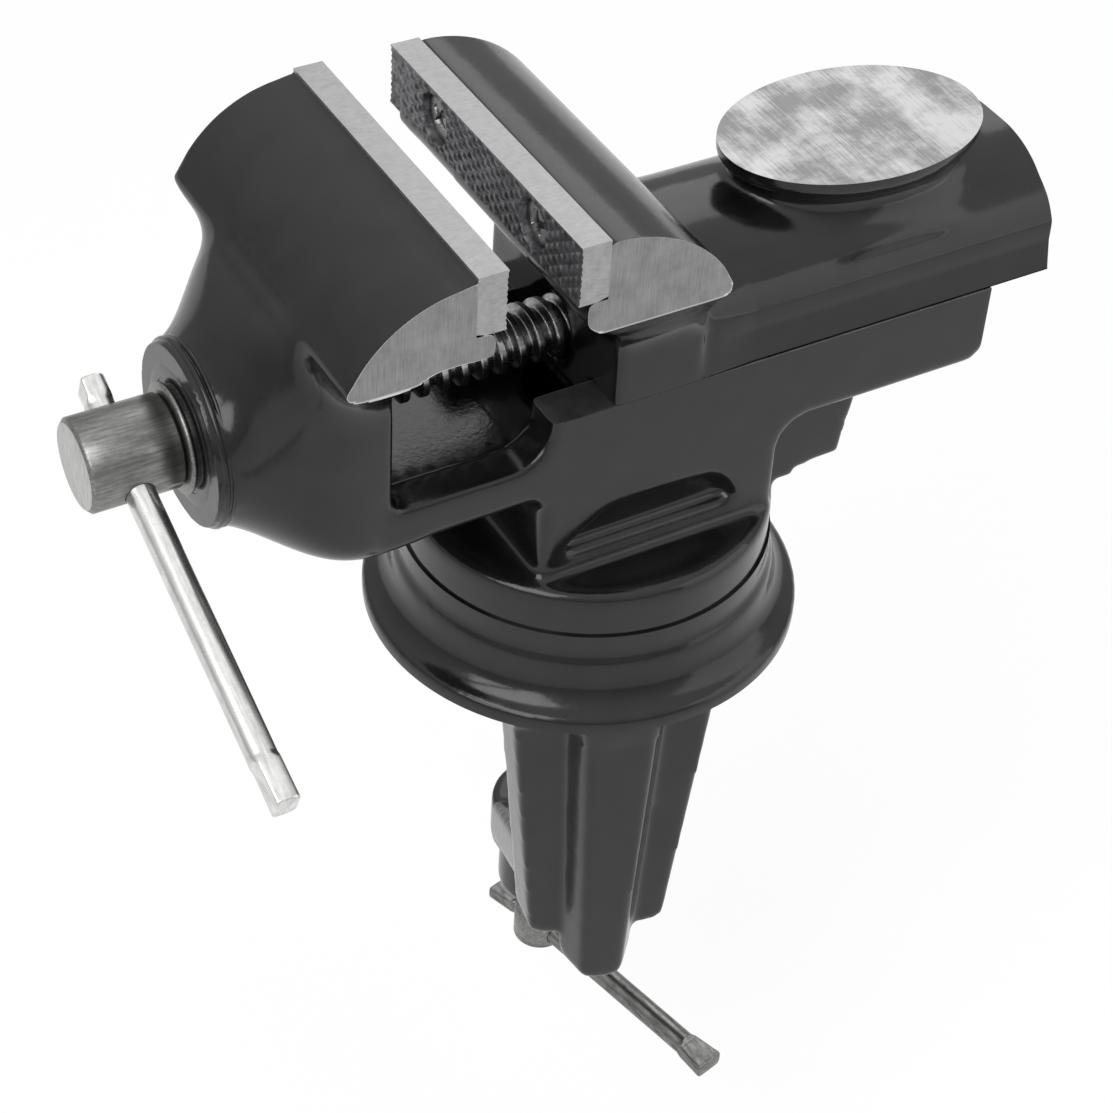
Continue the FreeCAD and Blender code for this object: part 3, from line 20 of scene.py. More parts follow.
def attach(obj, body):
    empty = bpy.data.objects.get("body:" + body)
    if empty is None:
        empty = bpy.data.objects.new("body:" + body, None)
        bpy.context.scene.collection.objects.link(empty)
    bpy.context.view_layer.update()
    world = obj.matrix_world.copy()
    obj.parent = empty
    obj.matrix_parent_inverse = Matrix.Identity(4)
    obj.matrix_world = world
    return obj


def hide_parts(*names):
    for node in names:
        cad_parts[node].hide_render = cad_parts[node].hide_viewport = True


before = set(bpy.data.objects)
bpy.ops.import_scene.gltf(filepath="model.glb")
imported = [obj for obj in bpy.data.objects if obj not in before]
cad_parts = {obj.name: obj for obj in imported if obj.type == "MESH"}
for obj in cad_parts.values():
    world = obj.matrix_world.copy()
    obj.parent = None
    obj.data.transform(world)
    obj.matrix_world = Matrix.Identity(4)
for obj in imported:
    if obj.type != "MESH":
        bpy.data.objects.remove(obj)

log = logging.getLogger("bench_vise")
MM = 0.001

Array: TypeAlias = np.ndarray
Colour: TypeAlias = tuple[float, float, float, float]
Links: TypeAlias = Mapping[object, object]
Triple: TypeAlias = tuple[float, float, float]
Socket: TypeAlias = bpy.types.NodeSocket

WHITE: Colour = (1.0, 1.0, 1.0, 1.0)

# Sizes that more than one piece shares
JAW_HALF = 35.0
SEAT_LEVEL = 19.2
SPINDLE_LEVEL = 68.1
BOSS_FACE = -84.5
PLATE_SEAT = ((-36.0, 36.0), (102.3, 115.0))


class Slot(Enum):
    """Material slots of the record, named with each piece here."""

    ENAMEL = "black_enamel"
    GROUND = "ground_steel"
    ZINC = "zinc_steel"


class Axis(Enum):
    """Main directions, as the index of their coordinate."""

    X = 0
    Y = 1
    Z = 2


# Colour and node helpers


def linear(code: str) -> Colour:
    """Turns an sRGB hex colour into linear light: c / 12.92 near black, else ((c + 0.055) / 1.055) ^ 2.4.

    Args:
        code: colour as #rrggbb.

    Returns:
        Linear red, green, blue and an alpha of one.
    """
    parts = np.array([int(code[i:i + 2], 16) / 255 for i in (1, 3, 5)])
    light = np.where(parts <= 0.04045, parts / 12.92, ((parts + 0.055) / 1.055) ** 2.4)
    return (*map(float, light), 1.0)


def fresh_tree(owner: bpy.types.ID) -> bpy.types.NodeTree:
    """Gives a new material or world an empty node tree."""
    owner.use_nodes = True
    owner.node_tree.nodes.clear()
    return owner.node_tree


def add_node(tree: bpy.types.NodeTree, kind: str, links: Optional[Links] = None,
             **settings) -> bpy.types.Node:
    """Adds a node with its settings and inputs.

    Args:
        tree: node tree that gets the node.
        kind: the node's type name.
        links: input name or index to a socket, which is linked, or to a plain value, which is set.
        settings: properties of the node.

    Returns:
        The new node.
    """
    node = tree.nodes.new(kind)
    for key, value in settings.items():
        setattr(node, key, value)
    for key, value in (links or {}).items():
        if isinstance(value, bpy.types.NodeSocket):
            tree.links.new(value, node.inputs[key])
        else:
            node.inputs[key].default_value = value
    return node


def joined(tree: bpy.types.NodeTree, operation: str, first: Socket, second: Socket | float) -> Socket:
    """Two numbers joined by one operation."""
    return add_node(tree, "ShaderNodeMath", {0: first, 1: second}, operation=operation).outputs[0]


@dataclass(frozen=True)
class Graph:
    """A finish's node tree, with the shader that it ends in and the Object coordinates it starts from."""

    tree: bpy.types.NodeTree
    shader: bpy.types.Node
    place: Socket

    def noise(self, size: float, detail: float, roughness: float = 0.5) -> Socket:
        """Noise with spots about so many millimetres wide."""
        node = add_node(self.tree, "ShaderNodeTexNoise", {"Vector": self.place, "Scale": 1000 / size,
                                                          "Detail": detail, "Roughness": roughness})
        return node.outputs["Fac"]

    def streaks(self, sizes: Triple) -> Socket:
        """Noise drawn out by its own amount along each axis.

        Args:
            sizes: millimetres that a spot is long along each axis.

        Returns:
            The noise's value.
        """
        stretch = add_node(self.tree, "ShaderNodeMapping",
                           {"Vector": self.place, "Scale": tuple(1000 / size for size in sizes)})
        node = add_node(self.tree, "ShaderNodeTexNoise",
                        {"Vector": stretch.outputs[0], "Scale": 1.0, "Detail": 3.0})
        return node.outputs["Fac"]

    def stored(self, name: str) -> Socket:
        """A number that the mesh keeps at each point."""
        return add_node(self.tree, "ShaderNodeAttribute", attribute_name=name).outputs["Fac"]

    def tone(self, value: Socket, ends: tuple[float, float], low: str, high: str) -> Socket:
        """Colour that follows a value from one hex colour to another.

        Args:
            value: what the colour follows.
            ends: the values at which low and high are reached.
            low: first colour.
            high: second colour.

        Returns:
            The colour.
        """
        node = add_node(self.tree, "ShaderNodeValToRGB", {"Fac": value})
        for element, place, code in zip(node.color_ramp.elements, ends, (low, high)):
            element.position = place
            element.color = linear(code)
        return node.outputs["Color"]

    def tint(self, share: Socket, colour: Socket, code: str) -> Socket:
        """Turns a colour towards a hex colour by a share."""
        node = add_node(self.tree, "ShaderNodeMix", {"Factor": share, 6: colour, 7: linear(code)},
                        data_type="RGBA")
        return node.outputs[2]

    def blend(self, share: float, first: Socket, second: Socket) -> Socket:
        """A number between two others."""
        node = add_node(self.tree, "ShaderNodeMix", {"Factor": share, 2: first, 3: second},
                        data_type="FLOAT")
        return node.outputs[0]

    def product(self, first: Socket, second: Socket) -> Socket:
        """Two numbers multiplied."""
        return joined(self.tree, "MULTIPLY", first, second)

    def remap(self, value: Socket, low: float, high: float,
              ends: tuple[float, float] = (0.0, 1.0)) -> Socket:
        """Runs from low to high while the value runs between its ends."""
        node = add_node(self.tree, "ShaderNodeMapRange", {"Value": value, "From Min": ends[0],
                                                          "From Max": ends[1], "To Min": low, "To Max": high})
        return node.outputs[0]

    def bump(self, height: Socket, depth: float, **under: Socket) -> Socket:
        """Normal of a relief so many millimetres deep, over another one given as Normal."""
        node = add_node(self.tree, "ShaderNodeBump", {"Height": height, "Distance": depth * MM,
                                                      "Strength": 1.0, **under})
        return node.outputs["Normal"]

    def close(self, colour: Socket, roughness: Socket, normal: Socket, plain: Mapping[str, float]) -> None:
        """Wires the patterns into the shader.

        Args:
            colour: base colour.
            roughness: roughness.
            normal: normal of the relief.
            plain: the shader's inputs that are the same over the whole surface.
        """
        for name, socket in (("Base Color", colour), ("Roughness", roughness), ("Normal", normal)):
            self.tree.links.new(socket, self.shader.inputs[name])
        for name, value in plain.items():
            self.shader.inputs[name].default_value = value


# Finishes


@dataclass(frozen=True)
class Finish:
    """One finish: a material with its own node pattern on Object coordinates."""

    name: str

    def material(self) -> bpy.types.Material:
        """Gives the finish's material.

        Returns:
            The material, made on the first call.
        """
        found = bpy.data.materials.get(self.name)
        if found:
            return found
        made = bpy.data.materials.new(self.name)
        tree = fresh_tree(made)
        shader = add_node(tree, "ShaderNodeBsdfPrincipled")
        add_node(tree, "ShaderNodeOutputMaterial", {"Surface": shader.outputs["BSDF"]})
        self.shade(Graph(tree, shader, add_node(tree, "ShaderNodeTexCoord").outputs["Object"]))
        return made

    def shade(self, graph: Graph) -> None:
        """Builds the pattern; each finish has its own.

        Args:
            graph: the tree to build it in.
        """
        raise NotImplementedError


@dataclass(frozen=True)
class CastEnamel(Finish):
    """Black stove enamel on sand-cast iron: a deep wet gloss over a faint orange peel, a trace greyer where
    the paint runs thin over an edge, and pitted where the sand's grain was never fettled."""

    colour_low: str = "#101011"
    colour_high: str = "#171718"
    colour_rub: str = "#343436"
    roughness: float = 0.14
    grain_mm: float = 0.9
    peel_mm: float = 8.0
    grain_height_mm: float = 0.006
    peel_height_mm: float = 0.07
    raw_gain: float = 8.0
    ior: float = 1.48

    def shade(self, graph: Graph) -> None:
        """Paint tone from slow noise, raw grain where the mesh marks it, thin edges lighter."""
        peel = graph.noise(self.peel_mm, 1.0)
        grain = graph.noise(self.grain_mm, 3.0, 0.6)
        tone = graph.tone(peel, (0.3, 0.7), self.colour_low, self.colour_high)
        thin = graph.tint(graph.product(graph.stored("rub"), grain), tone, self.colour_rub)
        gloss = graph.remap(grain, self.roughness - 0.04, self.roughness + 0.08, (0.3, 0.7))
        raw = graph.product(grain, graph.remap(graph.stored("raw"), 1.0, self.raw_gain))
        relief = graph.bump(raw, self.grain_height_mm, Normal=graph.bump(peel, self.peel_height_mm))
        graph.close(thin, gloss, relief, {"IOR": self.ior})


@dataclass(frozen=True)
class GroundSteel(Finish):
    """Steel or iron ground on a belt: dull silver with fine parallel scratches and paler worn patches."""

    colour_low: str
    colour_high: str
    scratch: Triple
    patch_mm: float
    line_share: float = 0.45
    roughness: float = 0.42
    ends: tuple[float, float] = (0.36, 0.62)
    # Near white that the flats' rims are tinted towards: a painted highlight along the edge
    colour_painted_highlight: str = "#dadada"
    scratch_height_mm: float = 0.008

    def shade(self, graph: Graph) -> None:
        """Scratches are noise drawn out along the grinding direction, patches are slow noise, and the rim
        that the mesh marks, where the belt has broken the edge, is tinted near white: a painted highlight."""
        lines = graph.streaks(self.scratch)
        both = graph.blend(self.line_share, graph.noise(self.patch_mm, 5.0, 0.65), lines)
        tone = graph.tone(both, self.ends, self.colour_low, self.colour_high)
        gloss = graph.remap(both, self.roughness - 0.08, self.roughness + 0.1, (0.3, 0.7))
        # The rim is tinted near white here: a painted highlight along the flat's edge
        graph.close(graph.tint(graph.stored("rim"), tone, self.colour_painted_highlight), gloss,
                    graph.bump(lines, self.scratch_height_mm), {"Metallic": 1.0})


@dataclass(frozen=True)
class ZincPlate(Finish):
    """Bright zinc over turned or drawn steel: a cool soft mirror, drawn out in faint streaks along the stock,
    with a few small dull spots."""

    colour_low: str
    colour_high: str
    roughness: float
    streak: Triple = (9.0, 0.7, 0.7)
    streak_share: float = 0.7
    spot_mm: float = 1.3
    mark_height_mm: float = 0.004

    def shade(self, graph: Graph) -> None:
        """Streaks drawn out along the stock set the tone, spots a little of the tone and the gloss."""
        both = graph.blend(self.streak_share, graph.noise(self.spot_mm, 4.0, 0.6), graph.streaks(self.streak))
        tone = graph.tone(both, (0.36, 0.64), self.colour_low, self.colour_high)
        gloss = graph.remap(both, self.roughness + 0.06, self.roughness - 0.04, (0.3, 0.7))
        graph.close(tone, gloss, graph.bump(both, self.mark_height_mm), {"Metallic": 1.0})


@dataclass(frozen=True)
class OiledSteel(Finish):
    """Blackened steel with a film of oil: dark, a little shiny, brighter where something has rubbed it."""

    colour_low: str = "#2c2c2d"
    colour_high: str = "#6a6a6b"
    roughness: float = 0.4
    grain_mm: float = 1.6
    grain_height_mm: float = 0.03

    def shade(self, graph: Graph) -> None:
        """One noise sets tone, gloss and relief."""
        grain = graph.noise(self.grain_mm, 4.0, 0.6)
        tone = graph.tone(grain, (0.35, 0.68), self.colour_low, self.colour_high)
        gloss = graph.remap(grain, self.roughness + 0.1, self.roughness - 0.1)
        graph.close(tone, gloss, graph.bump(grain, self.grain_height_mm), {"Metallic": 0.85})


ENAMEL = CastEnamel("glossy_black_enamel_on_cast_iron")
GROUND = GroundSteel("belt_ground_steel", "#969696", "#b2b2b2", (1.6, 0.25, 0.25), 2.2, 0.5)
GROUND_IRON = GroundSteel("belt_ground_cast_iron", "#7c7c7c", "#9c9c9c", (0.22, 0.22, 6.0), 5.0)
ANVIL_GROUND = GroundSteel("ground_anvil_face", "#888888", "#cecece", (0.25, 7.0, 0.25), 16.0, 0.25,
                           roughness=0.46, ends=(0.42, 0.58))
ZINC = ZincPlate("bright_zinc_on_turned_steel", "#6e6e6d", "#929290", 0.34, (5.0, 0.4, 0.4))
BAR_ZINC = ZincPlate("bright_zinc_on_drawn_bar", "#cacac8", "#ececea", 0.24, (0.6, 7.0, 3.0))
# The head's faced end: its drawn-out marks are the real faced finish, its much lighter tone than ZINC is
# painted light on the side that looks to the key lamp
LIT_END_ZINC = ZincPlate("zinc_on_faced_end_painted_lit", "#b4b4b2", "#cececc", 0.4, (0.4, 0.4, 4.0))
DULL_ZINC = ZincPlate("weathered_zinc_on_clamp_bar", "#5c5c5b", "#8a8a88", 0.32, (1.2, 6.0, 0.6))
THREAD_STEEL = ZincPlate("oiled_screw_thread", "#8c8c8c", "#c0c0c0", 0.28)
SERRATED = OiledSteel("blackened_serrated_steel", "#4a4a4b", "#86868a", 0.46)
DARK = OiledSteel("oiled_dark_steel")
NUT_IRON = OiledSteel("machined_nut_iron", "#55534f", "#85827c", 0.45)


# Mesh helpers


@contextmanager
def editing(mesh: bpy.types.Mesh) -> Iterator[bmesh.types.BMesh]:
    """Opens a mesh for editing and writes it back.

    Args:
        mesh: the mesh.

    Yields:
        The open mesh.
    """
    work = bmesh.new()
    work.from_mesh(mesh)
    yield work
    work.to_mesh(mesh)
    work.free()


def read_rows(items: bpy.types.bpy_prop_collection, name: str, width: int = 3,
              kind: type = np.float32) -> Array:
    """Reads one property of all items of a mesh.

    Args:
        items: the mesh's points, edges, faces or normals.
        name: the property.
        width: how many numbers each item has.
        kind: their type.

    Returns:
        Array of shape (items, width).
    """
    values = np.zeros(len(items) * width, kind)
    items.foreach_get(name, values)
    return values.reshape(-1, width)


def add_object(name: str, data: bpy.types.ID) -> bpy.types.Object:
    """Puts new data into the scene under a name."""
    made = bpy.data.objects.new(name, data)
    bpy.context.scene.collection.objects.link(made)
    return made


def make_piece(name: str, points: Array, faces: Sequence[Sequence[int]],
               sharp: float = 35.0) -> bpy.types.Object:
    """Puts points in millimetres and faces into a new object at the origin, faces outwards.

    Args:
        name: the piece's name.
        points: array of shape (count, 3).
        faces: indices of each face's points.
        sharp: edges that turn by more degrees than this stay sharp.

    Returns:
        The new object.
    """
    mesh = bpy.data.meshes.new(name)
    mesh.from_pydata((points * MM).tolist(), [], [tuple(map(int, face)) for face in faces])
    with editing(mesh) as work:
        bmesh.ops.remove_doubles(work, verts=work.verts, dist=1e-7)
        bmesh.ops.recalc_face_normals(work, faces=work.faces)
    soften(mesh, sharp)
    return add_object(name, mesh)


def soften(mesh: bpy.types.Mesh, sharp: float) -> None:
    """Shades a mesh smooth but for edges that turn by more than so many degrees."""
    mesh.polygons.foreach_set("use_smooth", np.ones(len(mesh.polygons), bool))
    mesh.set_sharp_from_angle(angle=math.radians(sharp))
    mesh.update()


def grid_faces(rows: int, columns: int, wrap: bool) -> Array:
    """Quads of a grid of points, row by row.

    Args:
        rows: points along the first parameter.
        columns: points along the second parameter.
        wrap: whether the last column meets the first.

    Returns:
        Array of shape (quads, 4).
    """
    across = columns if wrap else columns - 1
    row, column = np.meshgrid(np.arange(rows - 1), np.arange(across), indexing="ij")
    after = (column + 1) % columns
    quads = np.stack([row * columns + column, row * columns + after,
                      (row + 1) * columns + after, (row + 1) * columns + column], axis=-1)
    return quads.reshape(-1, 4)


def tube_piece(name: str, rings: Array) -> bpy.types.Object:
    """Closes a stack of rings into a solid: quads between rings and one flat face at each end.

    Args:
        name: the piece's name.
        rings: array of shape (rings, points, 3) in millimetres.

    Returns:
        The new object.
    """
    count, columns = rings.shape[:2]
    faces = grid_faces(count, columns, True).tolist()
    faces.append(list(range(columns)))
    faces.append(list(range((count - 1) * columns, count * columns)))
    return make_piece(name, rings.reshape(-1, 3), faces, 50.0)


def ring_loop_piece(name: str, rings: Array, sharp: float = 35.0) -> bpy.types.Object:
    """Closes a stack of rings that ends where it starts, as a washer's outline carried round itself."""
    count, columns = rings.shape[:2]
    faces = grid_faces(count + 1, columns, True) % (count * columns)
    return make_piece(name, rings.reshape(-1, 3), faces.tolist(), sharp)


def smooth_step(share: Array) -> Array:
    """Runs from 0 to 1 with level ends."""
    held = np.clip(share, 0, 1)
    return held * held * (3 - 2 * held)


def ramp(value: Array, start: Array | float, run: float) -> Array:
    """Runs from 0 at start to 1 at start + run, which may lie lower, and holds both."""
    return np.clip((value - start) / run, 0, 1)


def bell(value: Array, middle: float, width: float) -> Array:
    """One at the middle and falling off on both sides: exp(-((value - middle) / width)^2)."""
    return np.exp(-((value - middle) / width) ** 2)


def directions(along: Triple, towards: Triple) -> tuple[Array, Array, Array]:
    """Makes three unit directions that are square to each other.

    Args:
        along: the direction that is kept.
        towards: the one that is made square to it.

    Returns:
        Along, towards and the direction square to both.
    """
    first = np.array(along) / np.linalg.norm(along)
    second = np.array(towards) - first * (np.array(towards) @ first)
    second = second / np.linalg.norm(second)
    return first, second, np.cross(first, second)


def filleted(corners: Sequence[tuple[float, ...]], steps: int = 5) -> Array:
    """Rounds the corners of an open profile: each arc's points are centre + radius (cos a, sin a).

    Args:
        corners: (along, out) or (along, out, radius) of each corner.
        steps: points on each arc.

    Returns:
        Array of shape (count, 2).
    """
    made = [np.array(corners[0][:2], float)]
    for before, here, after in zip(corners, corners[1:], corners[2:]):
        place = np.array(here[:2], float)
        if len(here) < 3:
            made.append(place)
            continue
        back = np.array(before[:2], float) - place
        ahead = np.array(after[:2], float) - place
        back_way, ahead_way = back / np.linalg.norm(back), ahead / np.linalg.norm(ahead)
        half = 0.5 * math.acos(float(np.clip(back_way @ ahead_way, -1, 1)))
        radius = here[2]
        reach = radius / math.tan(half)
        middle = (back_way + ahead_way) / np.linalg.norm(back_way + ahead_way)
        centre = place + middle * radius / math.sin(half)
        start, end = place + back_way * reach - centre, place + ahead_way * reach - centre
        first = math.atan2(start[1], start[0])
        sweep = math.remainder(math.atan2(end[1], end[0]) - first, 2 * math.pi)
        turns = first + sweep * np.linspace(0, 1, steps)
        made.extend(centre + radius * np.stack([np.cos(turns), np.sin(turns)], axis=-1))
    made.append(np.array(corners[-1][:2], float))
    return np.array(made)


@dataclass(frozen=True)
class Spin:
    """A turned shape about a line: a place on the line, its direction, and where angle zero points."""

    place: Triple
    along: Triple
    zero: Triple
    columns: int

    def rings(self, profile: Array, radius: Optional[Array] = None) -> Array:
        """Carries a profile round the line: place + along a + radius (zero cos t + side sin t).

        Args:
            profile: (along, radius) rows.
            radius: radius for each row and column, in place of the profile's own.

        Returns:
            Array of shape (rows, columns, 3).
        """
        along, zero, side = directions(self.along, self.zero)
        turn = np.linspace(0, 2 * np.pi, self.columns, endpoint=False)
        if radius is None:
            radius = profile[:, 1:2] * np.ones(self.columns)
        outwards = np.cos(turn)[:, None] * zero + np.sin(turn)[:, None] * side
        return np.array(self.place) + profile[:, 0, None, None] * along + radius[..., None] * outwards

    def threaded(self, name: str, profile: Array, stretch: tuple[float, float], lead: float,
                 depth: float, fade: float) -> bpy.types.Object:
        """A turned piece with a right-hand thread cut into one stretch of it.

        The radius is the profile's less depth times a trapezoid of (along / lead - turn / full turn), and
        the cut fades in and out over so many millimetres at both ends of the stretch.

        Args:
            name: the piece's name.
            profile: (along, radius) rows, rising along the line.
            stretch: where the thread starts and ends.
            lead: rise in one turn.
            depth: crest to root.
            fade: length over which the cut fades.

        Returns:
            The new object.
        """
        start, end = stretch
        fine = np.arange(start, end, 0.2)
        middle = np.stack([fine, np.interp(fine, profile[:, 0], profile[:, 1])], axis=-1)
        rows = np.concatenate([profile[profile[:, 0] < start], middle, profile[profile[:, 0] >= end]])
        turn = np.linspace(0, 1, self.columns, endpoint=False)
        phase = (rows[:, :1] / lead - turn) % 1.0
        cut = smooth_step((0.5 - np.abs(phase - 0.5)) * 4.0 - 0.55)
        inside = ramp(np.minimum(rows[:, 0] - start, end - rows[:, 0]), 0, fade)[:, None]
        return tube_piece(name, self.rings(rows, rows[:, 1:2] - depth * cut * inside))


def merged_copy(node: str, name: str) -> bpy.types.Object:
    """Copies a CAD node's mesh into a new object and merges its loose triangles.

    Args:
        node: the CAD node.
        name: the new object's name.

    Returns:
        The new object.
    """
    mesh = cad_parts[node].data.copy()
    mesh.name = name
    mesh.materials.clear()
    with editing(mesh) as work:
        bmesh.ops.remove_doubles(work, verts=work.verts, dist=1e-6)
    return add_object(name, mesh)


def cut_head(node: str, name: str, axis: Axis, level: float) -> bpy.types.Object:
    """Copies what a CAD node has below a level, closed with one flat face.

    Args:
        node: the CAD node.
        name: the piece's name.
        axis: direction that the level is measured along.
        level: where the cut lies, in millimetres.

    Returns:
        The new object.
    """
    piece = merged_copy(node, name)
    normal, place = Vector((0, 0, 0)), Vector((0, 0, 0))
    normal[axis.value] = 1.0
    place[axis.value] = level * MM
    with editing(piece.data) as work:
        cut = bmesh.ops.bisect_plane(work, geom=[*work.verts, *work.edges, *work.faces], plane_co=place,
                                     plane_no=normal, dist=1e-7, clear_outer=True)
        edges = [item for item in cut["geom_cut"] if isinstance(item, bmesh.types.BMEdge)]
        bmesh.ops.holes_fill(work, edges=edges, sides=0)
        bmesh.ops.recalc_face_normals(work, faces=work.faces)
    soften(piece.data, 35.0)
    return piece


def paint(piece: bpy.types.Object, *finishes: Finish) -> bpy.types.Object:
    """Gives a piece its materials.

    Args:
        piece: the object.
        finishes: its finishes in the order of its faces' slot numbers.

    Returns:
        The same object.
    """
    slots = piece.data.materials
    if len(slots):
        slots.clear()
    for finish in finishes:
        slots.append(finish.material())
    return piece


def seat(piece: bpy.types.Object, body: str, slot: Slot, *nodes: str) -> None:
    """Says where a finished piece belongs.

    Args:
        piece: the object.
        body: the body that it rides on.
        slot: the record's material slot meant for it; not used.
        nodes: CAD nodes that it stands for.
    """
    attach(piece, body)
    if nodes:
        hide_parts(*nodes)
    log.info("%s: %d faces on %s", piece.name, len(piece.data.polygons), body)


def dress_nodes(finish: Finish, *nodes: str) -> None:
    """Gives CAD nodes that stay in view their finish."""
    for node in nodes:
        paint(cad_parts[node], finish)
        log.info("%s keeps its own shape", node)


# Castings


@dataclass(frozen=True)
class Machined:
    """A flat that is cut on a casting after it is cast, so that its edges stay crisp.

    axis and level place the flat in millimetres, side is 1 where the metal lies below it, and the region
    is (low, high) in the two other directions, without limits where the whole plane counts.
    """

    axis: Axis
    level: float
    side: int
    region: tuple[tuple[float, float], tuple[float, float]] = ((-999.0, 999.0), (-999.0, 999.0))
    slot: int = 0

    def inside(self, points: Array, grow: float) -> Array:
        """Marks the points whose other two coordinates lie in the region.

        Args:
            points: array of shape (count, 3).
            grow: how much wider the region is taken on each side.

        Returns:
            One truth value a point.
        """
        others = [index for index in range(3) if index != self.axis.value]
        marks = np.ones(len(points), bool)
        for index, (low, high) in zip(others, self.region):
            marks &= (points[:, index] > low - grow) & (points[:, index] < high + grow)
        return marks


def jaw_ends(along: tuple[float, float]) -> list[Machined]:
    """The two ground ends of a jaw that takes up this stretch of X."""
    return [Machined(Axis.Y, side * JAW_HALF, side, (along, (94.0, 114.0)), slot=1) for side in (-1, 1)]


def relax(points: Array, edges: Array, weights: Array, passes: int,
          outwards: Optional[Array] = None) -> Array:
    """Moves each point towards its neighbours' mean by its weight, so many times.

    With outwards given, a point only moves along it and never back, which fills hollows and keeps edges.

    Args:
        points: array of shape (count, 3).
        edges: pairs of point indices.
        weights: share of the way that each point moves at each pass.
        passes: how often.
        outwards: each point's normal, or none.

    Returns:
        The moved points.
    """
    first, second = edges[:, 0], edges[:, 1]
    count = len(points)
    valence = np.bincount(edges.ravel(), minlength=count).astype(float)
    moved = points.copy()
    for _ in range(passes):
        sums = [np.bincount(first, values[second], count) + np.bincount(second, values[first], count)
                for values in moved.T]
        step = weights[:, None] * (np.stack(sums, axis=-1) / valence[:, None] - moved)
        if outwards is not None:
            step = outwards * np.clip((step * outwards).sum(axis=1), 0, None)[:, None]
        moved += step
    return moved


